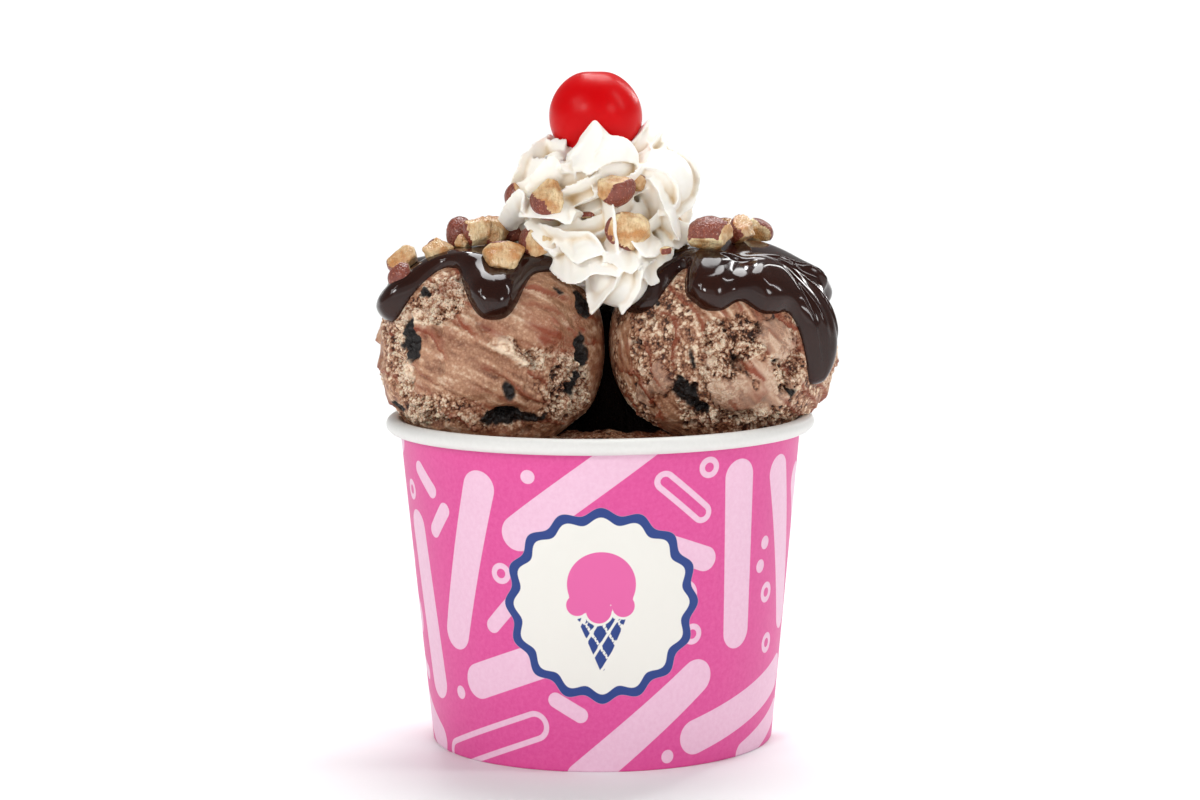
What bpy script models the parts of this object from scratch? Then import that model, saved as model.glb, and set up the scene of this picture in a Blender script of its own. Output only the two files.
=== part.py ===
"""Ice cream sundae in a paper cup: two scoops, fudge sauce, whipped cream, almonds and a cherry."""

from dataclasses import dataclass

import bmesh
import bpy
import numpy as np
from mathutils import Matrix, Vector

MM = 0.001
CLEARANCE = 0.3 * MM
SEED = 11
SHARP_ANGLE = 40

# The cup stands on z = 0. The right scoop overhangs further than the left one, so the cup's
# axis is a little left of the origin, which is the middle of the whole footprint.
CUP_AXIS_X = -2.2 * MM

# Paper cup, about 95 mm across the rim, 76 mm across the foot and 73 mm high
CUP_HEIGHT = 72.7 * MM
CUP_STEPS = 52
PAPER = 0.5 * MM
FOOT_RADIUS = 37.9 * MM
WALL_SLOPE = 6.4 / 68.6
RIM_RADIUS = 47.5 * MM
ROLL_HALF_WIDTH = 1.8 * MM
ROLL_HALF_HEIGHT = 2.05 * MM
ROLL_POINTS = 10
HEM_HEIGHT = 5.2 * MM
HEM_FLOOR = 1.0 * MM
BASE_TOP = 6.1 * MM

# Ice cream packed in the cup, to about 6 mm under the rim at the wall and higher in the middle
FILL_EDGE_Z = 65.6 * MM
FILL_MIDDLE_Z = 68.8 * MM
FILL_RINGS = 5
FILL_STEPS = 32
FILL_LUMPS = 0.6 * MM
FILL_WAVES = (14, 10, 22)
FILL_WAVE_SPAN = 30 * MM

# Scoop surfaces. Each set of waves has a count and its slowest and fastest, in radians for
# each radian round the scoop, or for each wave span of the packed ice cream.
SCOOP_SEGMENTS = 36
SCOOP_RINGS = 20
LUMP_HEIGHT = 0.45 * MM
LUMP_WAVES = (10, 3, 6)
CRAG_HEIGHT = 0.4 * MM
CRAG_WAVES = (16, 9, 15)
FLAKE_EDGE = 4
# The side that faces the other scoop stays plain: cosines of the angles where that starts and fades
JOINT_SIDE = 0.93
JOINT_FADE = 0.15

# Fudge sauce
SAUCE_GAP = 0.45 * MM
BARE_START = 1.2 * MM
BARE_FADE = 6.0 * MM
SAUCE_THIN = 1.3 * MM
SAUCE_BEAD = 2.5 * MM
SAUCE_LIP = 2.4 * MM
SAUCE_BEAD_INSET = 3.6 * MM
SAUCE_SEGMENTS = 44
SAUCE_OUTER_RINGS = 7
SAUCE_INNER_RINGS = 6
SAUCE_RING_EASE = 1.7
EDGE_SAMPLES = 360

# Whipped cream: a star shaped rope on a rising spiral, twisted as it is laid
CREAM_LOBES = 7
CREAM_TWIST = 2.1
CREAM_VALLEY = 0.4
CREAM_STEPS_PER_TURN = 20
CREAM_TURNS = 2.85
CREAM_PIECE_TURNS = 0.62
CREAM_SADDLE = 6.0 * MM
CREAM_SETTLED = 1.2
CREAM_REST_GAP = 1.15 * MM
CREAM_CUTTER_FINENESS = 2
# turn, radius of the spiral, height, radius of the rope
CREAM_COURSE = (
    (-0.10, 7.5 * MM, 103.0 * MM, 6.5 * MM),
    (0.10, 9.5 * MM, 103.0 * MM, 8.6 * MM),
    (0.50, 11.5 * MM, 105.5 * MM, 9.4 * MM),
    (1.00, 12.3 * MM, 112.5 * MM, 9.3 * MM),
    (1.50, 12.8 * MM, 118.5 * MM, 9.2 * MM),
    (2.00, 11.0 * MM, 124.0 * MM, 8.2 * MM),
    (2.50, 9.0 * MM, 129.0 * MM, 6.8 * MM),
    (2.85, 8.0 * MM, 130.0 * MM, 4.6 * MM),
)
CREAM_CORE = (10.5 * MM, 9.5 * MM, 15.0 * MM)
CREAM_CORE_Z = 113.0 * MM
CORE_SEGMENTS = 20
CORE_RINGS = 12
# height, how far in front of the axis, radius of the peak that the rope is drawn up into
CREAM_PEAK = (
    (124.5 * MM, 8.0 * MM, 6.2 * MM),
    (129.5 * MM, 9.6 * MM, 6.4 * MM),
    (133.5 * MM, 10.4 * MM, 4.0 * MM),
    (136.4 * MM, 10.2 * MM, 1.7 * MM),
    (137.8 * MM, 9.8 * MM, 0.4 * MM),
)
CREAM_PEAK_TURN = 0.35
CREAM_PEAK_X = -0.6 * MM
CREAM_VOXEL = 0.7 * MM
CREAM_TRIANGLES = 3200

# Cherry, with the shallow dimple that its stem leaves
CHERRY_RADIUS = 10.3 * MM
CHERRY_CENTRE = (-0.5 * MM, 2.0 * MM, 138.2 * MM)
CHERRY_DIMPLE = 0.5 * MM
CHERRY_DIMPLE_WIDTH = 0.28
CHERRY_SEGMENTS = 24
CHERRY_RINGS = 14

# Ice cream squeezed up between the scoops: middle and half sizes
RIDGE_MIDDLE = (1.6 * MM, 10.0 * MM, 75.0 * MM)
RIDGE_HALF = (14.0 * MM, 11.0 * MM, 21.0 * MM)
RIDGE_LUMPS = 0.6 * MM
RIDGE_WAVES = (10, 4, 9)

# Chopped almonds: how far the corners of their blocks lie out, and how far the middles of their sides wander
NUT_CORNERS = (0.55, 0.95)
NUT_SIDES = 0.3


@dataclass
class Scoop:
    """A scoop of ice cream, its sauce and the nuts on it. Angles are in degrees about its centre."""

    side: str
    centre: tuple
    half_sizes: tuple
    shoulder: float
    seed: int
    faces: float
    sauce_edge: float
    tongues: tuple
    flakes: tuple
    nuts: tuple


LEFT = Scoop(
    side="left",
    centre=(-23.7 * MM, -1.0 * MM, 87.6 * MM),
    half_sizes=(24.8 * MM, 25.3 * MM, 22.3 * MM),
    shoulder=2.35,
    seed=3,
    faces=0.0,
    sauce_edge=60.0,
    # azimuth, how much further the sauce runs down, half width
    tongues=(
        (-155, 14.5, 16),
        (-122, -20, 17),
        (-87, 11, 14),
        (-50, -14, 20),
        (0, -15, 26),
        (38, 5, 14),
        (72, 17, 11),
        (106, -8, 12),
        (142, 13, 12),
        (174, -5, 12),
    ),
    # azimuth, polar angle, half width, height in millimetres
    flakes=(
        (-128, 62, 9, -0.9),
        (-100, 96, 16, 0.7),
        (-62, 78, 12, 0.6),
        (-148, 100, 10, -1.0),
        (-80, 122, 10, -1.1),
        (60, 98, 15, 0.8),
        (120, 84, 13, -0.9),
    ),
    # azimuth, polar angle, length, width, height in millimetres
    nuts=(
        (-166, 45, 6.0, 5.4, 5.0),
        (-152, 53, 4.6, 4.0, 3.4),
        (-148, 33, 6.4, 4.8, 3.8),
        (165, 17, 5.2, 4.6, 5.6),
        (-112, 11, 6.4, 5.8, 6.2),
        (-62, 9, 5.4, 5.0, 6.4),
        (15, 13, 5.2, 4.6, 5.8),
        (-78, 41, 8.6, 5.6, 4.4),
        (-47, 34, 6.8, 5.4, 5.6),
        (95, 34, 6.8, 5.4, 4.6),
        (58, 26, 5.8, 5.2, 4.4),
        (120, 52, 5.8, 4.8, 4.0),
    ),
)

RIGHT = Scoop(
    side="right",
    centre=(27.3 * MM, -0.5 * MM, 88.2 * MM),
    half_sizes=(25.3 * MM, 25.6 * MM, 22.0 * MM),
    shoulder=2.15,
    seed=8,
    faces=180.0,
    sauce_edge=62.0,
    tongues=(
        (-146, 10, 17),
        (-122, -20, 6.5),
        (-97, 7, 11),
        (-66, 9, 13),
        (-38, 46, 13),
        (12, 9, 12),
        (46, 24, 9),
        (84, 4, 12),
        (120, 17, 10),
        (152, -7, 12),
        (180, -9, 14),
    ),
    flakes=(
        (-68, 82, 12, 0.9),
        (-84, 108, 13, 0.8),
        (-104, 100, 7, -1.2),
        (-98, 84, 6, -0.9),
        (-132, 104, 11, 0.6),
        (40, 104, 14, 0.8),
        (100, 90, 12, -0.9),
    ),
    nuts=(
        (-165, 24, 5.8, 4.6, 5.4),
        (-104, 27, 8.6, 7.2, 6.4),
        (-49, 16, 5.8, 4.6, 5.6),
        (150, 34, 6.4, 5.2, 4.4),
        (84, 30, 7.0, 5.4, 4.8),
        (36, 22, 5.6, 5.0, 4.2),
        (110, 54, 5.8, 4.6, 4.0),
    ),
)

# Nuts on the cream: azimuth about the cup's axis, height, length, width, height of the piece in millimetres
CREAM_NUTS = (
    (-125, 121.5, 8.0, 6.6, 5.4),
    (-80, 122.8, 7.8, 5.8, 5.2),
    (-53, 123.5, 3.8, 3.4, 3.2),
    (-66, 113.8, 9.4, 6.4, 5.6),
    (-164, 121.0, 4.6, 3.8, 3.6),
    (60, 122.0, 6.6, 5.4, 4.6),
    (112, 118.5, 7.4, 5.6, 4.8),
    (158, 124.0, 5.2, 4.4, 4.0),
    (18, 124.5, 5.6, 4.6, 4.0),
)

# Colours, roughness
FINISHES = {
    "cup_paper": ((0.75, 0.09, 0.33), 0.45),
    "cup_base_paper": ((0.88, 0.87, 0.84), 0.6),
    "ice_cream": ((0.48, 0.27, 0.16), 0.6),
    "fudge": ((0.024, 0.010, 0.008), 0.15),
    "whipped_cream": ((0.93, 0.90, 0.82), 0.4),
    "cherry": ((0.75, 0.01, 0.02), 0.15),
}


def clear_scene():
    for old in list(bpy.data.objects):
        bpy.data.objects.remove(old)


def finish(name):
    """The named material, made on first use."""
    if name not in bpy.data.materials:
        colour, roughness = FINISHES[name]
        made = bpy.data.materials.new(name)
        made.use_nodes = True
        shader = made.node_tree.nodes["Principled BSDF"]
        shader.inputs["Base Color"].default_value = (*colour, 1)
        shader.inputs["Roughness"].default_value = roughness
    return bpy.data.materials[name]


def add_object(name, mesh, collection, material=None):
    """A mesh as an object of the collection, shaded smooth except across sharp folds."""
    obj = bpy.data.objects.new(name, mesh)
    collection.objects.link(obj)
    mesh.shade_smooth()
    mesh.set_sharp_from_angle(angle=np.radians(SHARP_ANGLE))
    if material:
        mesh.materials.clear()
        mesh.materials.append(finish(material))
    return obj


def add_cutter(name, mesh, collection):
    obj = add_object(name, mesh, collection)
    obj.hide_render = True
    obj.display_type = "WIRE"
    return obj


def bake_modifiers(obj):
    """Swaps the object's mesh for its evaluated one."""
    graph = bpy.context.evaluated_depsgraph_get()
    baked = bpy.data.meshes.new_from_object(obj.evaluated_get(graph))
    obj.modifiers.clear()
    obj.data = baked
    return obj


def boolean(obj, operation, other, solver="EXACT"):
    """Cuts or joins with an object or with a whole collection."""
    step = obj.modifiers.new(operation.lower(), "BOOLEAN")
    step.operation = operation
    step.solver = solver
    if isinstance(other, bpy.types.Collection):
        step.operand_type = "COLLECTION"
        step.collection = other
    else:
        step.object = other
    return bake_modifiers(obj)


def drop_objects(objects):
    for obj in list(objects):
        bpy.data.objects.remove(obj)


def turn_profile(name, points, steps, collection, closed):
    """A turned piece about the cup's axis: its profile runs down the outer side."""
    mesh = bpy.data.meshes.new(name)
    count = len(points)
    edges = [(i, (i + 1) % count) for i in range(count if closed else count - 1)]
    mesh.from_pydata([(radius, 0, height) for radius, height in points], edges, [])
    obj = bpy.data.objects.new(name, mesh)
    collection.objects.link(obj)
    screw = obj.modifiers.new("turn", "SCREW")
    screw.steps = steps
    screw.render_steps = steps
    screw.use_merge_vertices = True
    screw.merge_threshold = 0.01 * MM
    bake_modifiers(obj)
    obj.data.transform(Matrix.Translation((CUP_AXIS_X, 0, 0)))
    return obj


def wall_outside(height):
    return FOOT_RADIUS + WALL_SLOPE * height


def wall_inside(height):
    return wall_outside(height) - PAPER


def rim_roll(margin):
    """The rolled rim's outline, from its inner side over the top and down to the wall."""
    centre_radius = RIM_RADIUS - ROLL_HALF_WIDTH
    centre_height = CUP_HEIGHT - ROLL_HALF_HEIGHT
    angles = np.radians(np.linspace(180, -130, ROLL_POINTS))
    radii = centre_radius + (ROLL_HALF_WIDTH + margin) * np.cos(angles)
    heights = centre_height + (ROLL_HALF_HEIGHT + margin) * np.sin(angles)
    return list(zip(radii, heights))


def build_cup_wall(collection):
    """Side wall, rolled rim and the hem that folds up round the base's skirt."""
    slot = PAPER + 2 * CLEARANCE
    profile = rim_roll(0)
    profile.append((wall_outside(0), 0))
    profile.append((wall_inside(0) - slot - PAPER, 0))
    profile.append((wall_inside(HEM_HEIGHT) - slot - PAPER, HEM_HEIGHT))
    profile.append((wall_inside(HEM_HEIGHT) - slot, HEM_HEIGHT))
    profile.append((wall_inside(HEM_FLOOR) - slot, HEM_FLOOR))
    profile.append((wall_inside(HEM_FLOOR), HEM_FLOOR))
    obj = turn_profile("cup_wall", profile, CUP_STEPS, collection, closed=True)
    return dress(obj, "cup_paper")


def build_cup_base(collection):
    """Recessed disc whose skirt hangs in the hem."""
    skirt_end = HEM_FLOOR + CLEARANCE
    underside = BASE_TOP - PAPER
    profile = [
        (0, BASE_TOP),
        (wall_inside(BASE_TOP) - CLEARANCE, BASE_TOP),
        (wall_inside(skirt_end) - CLEARANCE, skirt_end),
        (wall_inside(skirt_end) - CLEARANCE - PAPER, skirt_end),
        (wall_inside(underside) - CLEARANCE - PAPER, underside),
        (0, underside),
    ]
    obj = turn_profile("cup_base", profile, CUP_STEPS, collection, closed=False)
    return dress(obj, "cup_base_paper")


def dress(obj, material):
    obj.data.materials.clear()
    obj.data.materials.append(finish(material))
    obj.data.shade_smooth()
    obj.data.set_sharp_from_angle(angle=np.radians(SHARP_ANGLE))
    return obj


def coordinates(mesh):
    points = np.empty(len(mesh.vertices) * 3)
    mesh.vertices.foreach_get("co", points)
    return points.reshape(-1, 3)


def place(mesh, points):
    mesh.vertices.foreach_set("co", points.ravel())
    mesh.update()


def waves(points, seed, count, slowest, fastest):
    """A smooth uneven field near -1 to 1: a sum of sine waves in seeded directions."""
    random = np.random.default_rng(seed)
    heading = random.normal(size=(count, 3))
    heading /= np.linalg.norm(heading, axis=1)[:, None]
    heading *= random.uniform(slowest, fastest, count)[:, None]
    phase = random.uniform(0, 2 * np.pi, count)
    return np.sin(points @ heading.T + phase).sum(1) * np.sqrt(2 / count) / 2


def direction_of(azimuth, polar):
    """Unit directions from angles in radians."""
    return np.stack(
        [
            np.sin(polar) * np.cos(azimuth),
            np.sin(polar) * np.sin(azimuth),
            np.cos(polar) * np.ones_like(azimuth),
        ],
        axis=-1,
    )


def angles_of(direction):
    azimuth = np.arctan2(direction[..., 1], direction[..., 0])
    polar = np.arccos(np.clip(direction[..., 2], -1, 1))
    return azimuth, polar


def turn_difference(a, b):
    """Signed difference of two azimuths in degrees, between -180 and 180."""
    return (a - b + 180) % 360 - 180


def sauce_edge(scoop, azimuth):
    """Polar angle that the sauce reaches at each azimuth: a ring with tongues and arches."""
    degrees = np.degrees(azimuth)
    edge = np.full_like(degrees, scoop.sauce_edge)
    for centre, reach, width in scoop.tongues:
        edge += reach * np.exp(-np.abs(turn_difference(degrees, centre) / width) ** 3)
    return np.radians(edge)


def inset_from_edge(scoop, direction):
    """How far a direction lies inside the sauce's edge, along the scoop. Negative where it is bare."""
    samples = np.linspace(-np.pi, np.pi, EDGE_SAMPLES, endpoint=False)
    rim = direction_of(samples, sauce_edge(scoop, samples))
    nearest = np.arccos(np.clip((direction @ rim.T).max(1), -1, 1)) * scoop.half_sizes[0]
    azimuth, polar = angles_of(direction)
    return np.where(polar < sauce_edge(scoop, azimuth), nearest, -nearest)


def scoop_radius(scoop, direction):
    """Distance from the centre to the ice cream: a full shouldered ball with lumps, crags and flakes."""
    a, b, c = scoop.half_sizes
    around = np.hypot(direction[:, 0] / a, direction[:, 1] / b) ** scoop.shoulder
    upright = np.abs(direction[:, 2] / c) ** scoop.shoulder
    ball = (around + upright) ** (-1 / scoop.shoulder)
    bare = np.clip((-inset_from_edge(scoop, direction) - BARE_START) / BARE_FADE, 0, 1)
    away = direction @ direction_of(np.radians(scoop.faces), np.radians(90))
    open_side = np.clip((JOINT_SIDE - away) / JOINT_FADE, 0, 1)
    lumps = LUMP_HEIGHT * waves(direction, scoop.seed, *LUMP_WAVES)
    crags = CRAG_HEIGHT * waves(direction, scoop.seed + 1, *CRAG_WAVES) * bare
    flakes = np.zeros(len(direction))
    for flake_azimuth, flake_polar, width, height in scoop.flakes:
        middle = direction_of(np.radians(flake_azimuth), np.radians(flake_polar))
        apart = np.degrees(np.arccos(np.clip(direction @ middle, -1, 1)))
        flakes += height * MM * bare * np.clip((width - apart) / FLAKE_EDGE, 0, 1)
    return ball + (lumps + crags + flakes) * open_side


def sauce_thickness(scoop, direction):
    """Sauce depth: a round lip at the edge, a bead behind it and a thinner coat above."""
    inset = inset_from_edge(scoop, direction)
    lip = np.sqrt(1 - (1 - np.clip(inset / SAUCE_LIP, 0, 1)) ** 2)
    bead = (SAUCE_BEAD - SAUCE_THIN) * np.exp(-(((inset - SAUCE_BEAD_INSET) / SAUCE_BEAD_INSET) ** 2))
    return lip * (SAUCE_THIN + bead)


def coated_radius(scoop, direction):
    """Distance from the centre to the outside of the sauce, or to the ice cream where it is bare."""
    depth = sauce_thickness(scoop, direction)
    return scoop_radius(scoop, direction) + depth + SAUCE_GAP * np.clip(depth / SAUCE_GAP, 0, 1)


def world_centre(scoop):
    return np.array(scoop.centre) + (CUP_AXIS_X, 0, 0)


def ball_mesh(name, segments, rings, centre, radius_of):
    """A sphere whose points are pushed out to radius_of(direction)."""
    work = bmesh.new()
    bmesh.ops.create_uvsphere(work, u_segments=segments, v_segments=rings, radius=1)
    bmesh.ops.triangulate(work, faces=work.faces, quad_method="FIXED")
    mesh = bpy.data.meshes.new(name)
    work.to_mesh(mesh)
    work.free()
    direction = coordinates(mesh)
    direction /= np.linalg.norm(direction, axis=1)[:, None]
    place(mesh, centre + direction * radius_of(direction)[:, None])
    return mesh


def scoop_cutter(scoop, margin, radius_function, collection, fine=1):
    mesh = ball_mesh(
        f"cut_{scoop.side}",
        SCOOP_SEGMENTS * fine,
        SCOOP_RINGS * fine,
        world_centre(scoop),
        lambda direction: radius_function(scoop, direction) + margin,
    )
    return add_cutter(mesh.name, mesh, collection)


def ridge_mesh():
    """The lump of ice cream that is squeezed up between the scoops."""

    def radius_of(direction):
        ball = 1 / np.linalg.norm(direction / RIDGE_HALF, axis=1)
        return ball + RIDGE_LUMPS * waves(direction, SEED, *RIDGE_WAVES)

    centre = np.array(RIDGE_MIDDLE) + (CUP_AXIS_X, 0, 0)
    return ball_mesh("ridge", CORE_SEGMENTS, CORE_RINGS, centre, radius_of)


def build_fill(collection, cutters):
    """Packed ice cream: a lumpy, slightly domed top, a ridge between the scoops and a hollow under each."""
    bottom = BASE_TOP + CLEARANCE
    edge_radius = wall_inside(FILL_EDGE_Z) - CLEARANCE
    profile = [(edge_radius * i / FILL_RINGS, FILL_EDGE_Z) for i in range(FILL_RINGS + 1)]
    profile += [(wall_inside(bottom) - CLEARANCE, bottom), (0, bottom)]
    obj = turn_profile("packed_ice_cream", profile, FILL_STEPS, collection, closed=False)
    points = coordinates(obj.data)
    reach = np.hypot(points[:, 0] - CUP_AXIS_X, points[:, 1]) / edge_radius
    inner = np.clip((1 - reach) * 4, 0, 1)
    lumps = FILL_LUMPS * waves(points / FILL_WAVE_SPAN, SEED, *FILL_WAVES)
    dome = (FILL_MIDDLE_Z - FILL_EDGE_Z) * (1 - reach**2)
    top = points[:, 2] > FILL_EDGE_Z - 0.1 * MM
    points[:, 2] += np.where(top, (dome + lumps) * inner, 0)
    place(obj.data, points)
    join_with(obj, [ridge_mesh()])
    for scoop in (LEFT, RIGHT):
        boolean(obj, "DIFFERENCE", scoop_cutter(scoop, CLEARANCE, scoop_radius, cutters))
    return dress(obj, "ice_cream")


def rim_cutter(cutters):
    """Everything outside the cup's inner face and under its rim, so that what leans on the rim fits it."""
    far = RIM_RADIUS + FOOT_RADIUS
    below = -HEM_HEIGHT
    profile = rim_roll(CLEARANCE)[: ROLL_POINTS * 2 // 3]
    profile += [(far, profile[-1][1]), (far, below), (wall_inside(0) - CLEARANCE, below)]
    obj = turn_profile("cut_rim", profile, CUP_STEPS, cutters, closed=True)
    obj.hide_render = True
    obj.display_type = "WIRE"
    return obj


def build_scoop(scoop, collection, rim):
    mesh = ball_mesh(
        f"scoop_{scoop.side}",
        SCOOP_SEGMENTS,
        SCOOP_RINGS,
        world_centre(scoop),
        lambda direction: scoop_radius(scoop, direction),
    )
    obj = add_object(mesh.name, mesh, collection)
    boolean(obj, "DIFFERENCE", rim)
    return dress(obj, "ice_cream")


def nut_mesh(name, centre, normal, size, random, margin=0.0):
    """A chopped almond: the hull of a block's pulled in corners and pushed out sides, laid on its carrier."""
    corners = np.array([(x, y, z) for x in (-1, 1) for y in (-1, 1) for z in (-1, 1)], dtype=float)
    corners *= random.uniform(*NUT_CORNERS, corners.shape)
    sides = random.uniform(-NUT_SIDES, NUT_SIDES, (4, 3))
    sides[:, :2] += [(1, 0), (-1, 0), (0, 1), (0, -1)]
    scatter = np.concatenate([corners, sides])
    half = np.array(size) / 2 + margin
    upright = Vector(normal).to_track_quat("Z", "Y").to_matrix()
    spin = Matrix.Rotation(random.uniform(0, 2 * np.pi), 3, "Z")
    turned = scatter * half @ np.array(upright @ spin).T
    work = bmesh.new()
    for point in turned + centre:
        work.verts.new(point)
    hull = bmesh.ops.convex_hull(work, input=work.verts)
    bmesh.ops.delete(work, geom=[v for v in hull["geom_interior"] if isinstance(v, bmesh.types.BMVert)])
    bmesh.ops.recalc_face_normals(work, faces=work.faces)
    mesh = bpy.data.meshes.new(name)
    work.to_mesh(mesh)
    work.free()
    return mesh


def ice_cream_at(scoop, azimuth, polar):
    """A point of the ice cream's surface and its normal, from two short steps along the surface."""
    steps = np.radians([(0, 0), (2, 0), (0, 2)])
    direction = direction_of(azimuth + steps[:, 0], polar + steps[:, 1])
    points = world_centre(scoop) + direction * scoop_radius(scoop, direction)[:, None]
    normal = np.cross(points[2] - points[0], points[1] - points[0])
    return points[0], normal / np.linalg.norm(normal)


def scoop_nuts(scoop, margin=0.0):
    """The nuts on a scoop's sauce, sunk in it but clear of the ice cream."""
    meshes = []
    for index, (azimuth, polar, *size) in enumerate(scoop.nuts):
        size = np.array(size) * MM
        seat, normal = ice_cream_at(scoop, np.radians(azimuth), np.radians(polar))
        centre = seat + normal * (2 * SAUCE_GAP + size[2] / 2)
        random = np.random.default_rng([scoop.seed, index])
        meshes.append(nut_mesh(f"nut_{scoop.side}_{index}", centre, normal, size, random, margin))
    return meshes


def join_with(obj, meshes):
    """Fuses loose meshes to the object in one union, then removes them."""
    loose = bpy.data.collections.new("loose")
    bpy.context.scene.collection.children.link(loose)
    for mesh in meshes:
        add_object(mesh.name, mesh, loose)
    boolean(obj, "UNION", loose, "MANIFOLD")
    drop_objects(loose.objects)
    bpy.data.collections.remove(loose)
    return obj


def closed_grid(rows, first_pole=None, last_pole=None):
    """Points and faces of a stack of closed rings, each end closed by a pole or by the ring itself."""
    count = len(rows[0])
    points = [tuple(point) for row in rows for point in row]
    faces = []
    for low in range(len(rows) - 1):
        for i in range(count):
            j = (i + 1) % count
            faces.append((low * count + i, low * count + j, (low + 1) * count + j, (low + 1) * count + i))
    last = (len(rows) - 1) * count
    for pole, ring, flip in ((first_pole, 0, True), (last_pole, last, False)):
        if pole is None:
            continue
        points.append(tuple(pole))
        for i in range(count):
            corner = (ring + i, ring + (i + 1) % count, len(points) - 1)
            faces.append(corner[::-1] if flip else corner)
    return points, faces


def solid_from(name, points, faces):
    mesh = bpy.data.meshes.new(name)
    mesh.from_pydata(points, [], faces)
    work = bmesh.new()
    work.from_mesh(mesh)
    bmesh.ops.triangulate(work, faces=work.faces)
    bmesh.ops.recalc_face_normals(work, faces=work.faces)
    work.to_mesh(mesh)
    work.free()
    return mesh


def even_azimuths(scoop):
    """Azimuths in even steps along the sauce's edge, so that steep drips get the points they need."""
    samples = np.linspace(-np.pi, np.pi, 2 * EDGE_SAMPLES + 1)
    rim = direction_of(samples, sauce_edge(scoop, samples))
    length = np.concatenate([[0], np.cumsum(np.linalg.norm(np.diff(rim, axis=0), axis=1))])
    steps = np.linspace(0, length[-1], SAUCE_SEGMENTS + 1)[:-1]
    return np.interp(steps, length, samples)


def build_fudge(scoop, collection, rim, cutters):
    """The sauce over a scoop: a loft between its inner and its rounded outer face, with the nuts fused."""
    azimuth = even_azimuths(scoop)
    edge = sauce_edge(scoop, azimuth)
    centre = world_centre(scoop)

    def ring(share, outer):
        direction = direction_of(azimuth, edge * share)
        radius = scoop_radius(scoop, direction) + SAUCE_GAP
        if outer:
            radius += sauce_thickness(scoop, direction)
        return centre + direction * radius[:, None]

    outer_shares = 1 - (1 - np.arange(1, SAUCE_OUTER_RINGS + 1) / SAUCE_OUTER_RINGS) ** SAUCE_RING_EASE
    inner_shares = np.arange(SAUCE_INNER_RINGS - 1, 0, -1) / SAUCE_INNER_RINGS
    rows = [ring(share, True) for share in outer_shares] + [ring(share, False) for share in inner_shares]
    up = np.array([[0.0, 0.0, 1.0]])
    inner_pole = centre + up[0] * (scoop_radius(scoop, up)[0] + SAUCE_GAP)
    outer_pole = centre + up[0] * coated_radius(scoop, up)[0]
    name = f"fudge_{scoop.side}"
    obj = add_object(name, solid_from(name, *closed_grid(rows, outer_pole, inner_pole)), collection)
    join_with(obj, scoop_nuts(scoop))
    boolean(obj, "DIFFERENCE", rim)
    boolean(obj, "DIFFERENCE", scoop_cutter(scoop, CLEARANCE / 2, scoop_radius, cutters))
    return dress(obj, "fudge")


def cream_course(turn):
    """Spiral radius, height and rope radius at each turn, eased between the named stations."""
    stations = np.array(CREAM_COURSE).T
    spiral, height, rope = (np.interp(turn, stations[0], row) for row in stations[1:])
    angle = 2 * np.pi * turn - np.pi / 2
    settle = np.clip(CREAM_SETTLED - turn, 0, 1)
    height = height + CREAM_SADDLE * settle * np.cos(angle) ** 2
    return spiral, height, rope, angle


def cream_rows(turns):
    """Star shaped sections square to the spiral, their sharp lobes turning as the rope is laid."""
    spiral, height, rope, angle = cream_course(turns)
    around = np.arange(2 * CREAM_LOBES) * np.pi / CREAM_LOBES
    star = np.where(np.arange(2 * CREAM_LOBES) % 2 == 0, 1, 1 - CREAM_VALLEY)
    phase = around[None] + (2 * np.pi * CREAM_TWIST * turns)[:, None]
    out = spiral[:, None] + rope[:, None] * star * np.cos(phase)
    rise = height[:, None] + rope[:, None] * star * np.sin(phase)
    return np.stack(
        [CUP_AXIS_X + out * np.cos(angle)[:, None], out * np.sin(angle)[:, None], rise],
        axis=-1,
    )


def peak_rows():
    """The soft star pointed peak in front, on a short curved stem."""
    height, forward, rope = np.array(CREAM_PEAK).T
    around = np.arange(2 * CREAM_LOBES) * np.pi / CREAM_LOBES
    star = np.where(np.arange(2 * CREAM_LOBES) % 2 == 0, 1, 1 - CREAM_VALLEY / 2)
    lift = (height - height[0]) / (height[-1] - height[0])
    phase = around[None] + (2 * np.pi * CREAM_PEAK_TURN * lift)[:, None]
    along = CUP_AXIS_X + CREAM_PEAK_X + rope[:, None] * star * np.cos(phase)
    back = -forward[:, None] + rope[:, None] * star * np.sin(phase)
    return np.stack([along, back, height[:, None] + 0 * along], axis=-1)


def cream_reach(azimuth, height):
    """Distance from the cup's axis to the outside of the rope, at an azimuth in degrees and a height."""
    turns = np.linspace(CREAM_COURSE[0][0], CREAM_TURNS, 400)
    spiral, middle, rope, angle = cream_course(turns)
    level = np.clip(1 - ((height - middle) / rope) ** 2, 0, 1)
    near = np.abs(turn_difference(np.degrees(angle), azimuth)) < 4
    return (spiral + rope * np.sqrt(level) * (1 - CREAM_VALLEY / 2))[near & (level > 0)].max()


def cream_nuts():
    meshes = []
    for index, (azimuth, height, *size) in enumerate(CREAM_NUTS):
        out = cream_reach(azimuth, height * MM)
        normal = direction_of(np.radians(azimuth), np.radians(75))
        centre = np.array([CUP_AXIS_X, 0, height * MM]) + out * direction_of(np.radians(azimuth), np.pi / 2)
        random = np.random.default_rng([SEED, index])
        meshes.append(nut_mesh(f"nut_cream_{index}", centre, normal, np.array(size) * MM, random))
    return meshes


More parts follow.
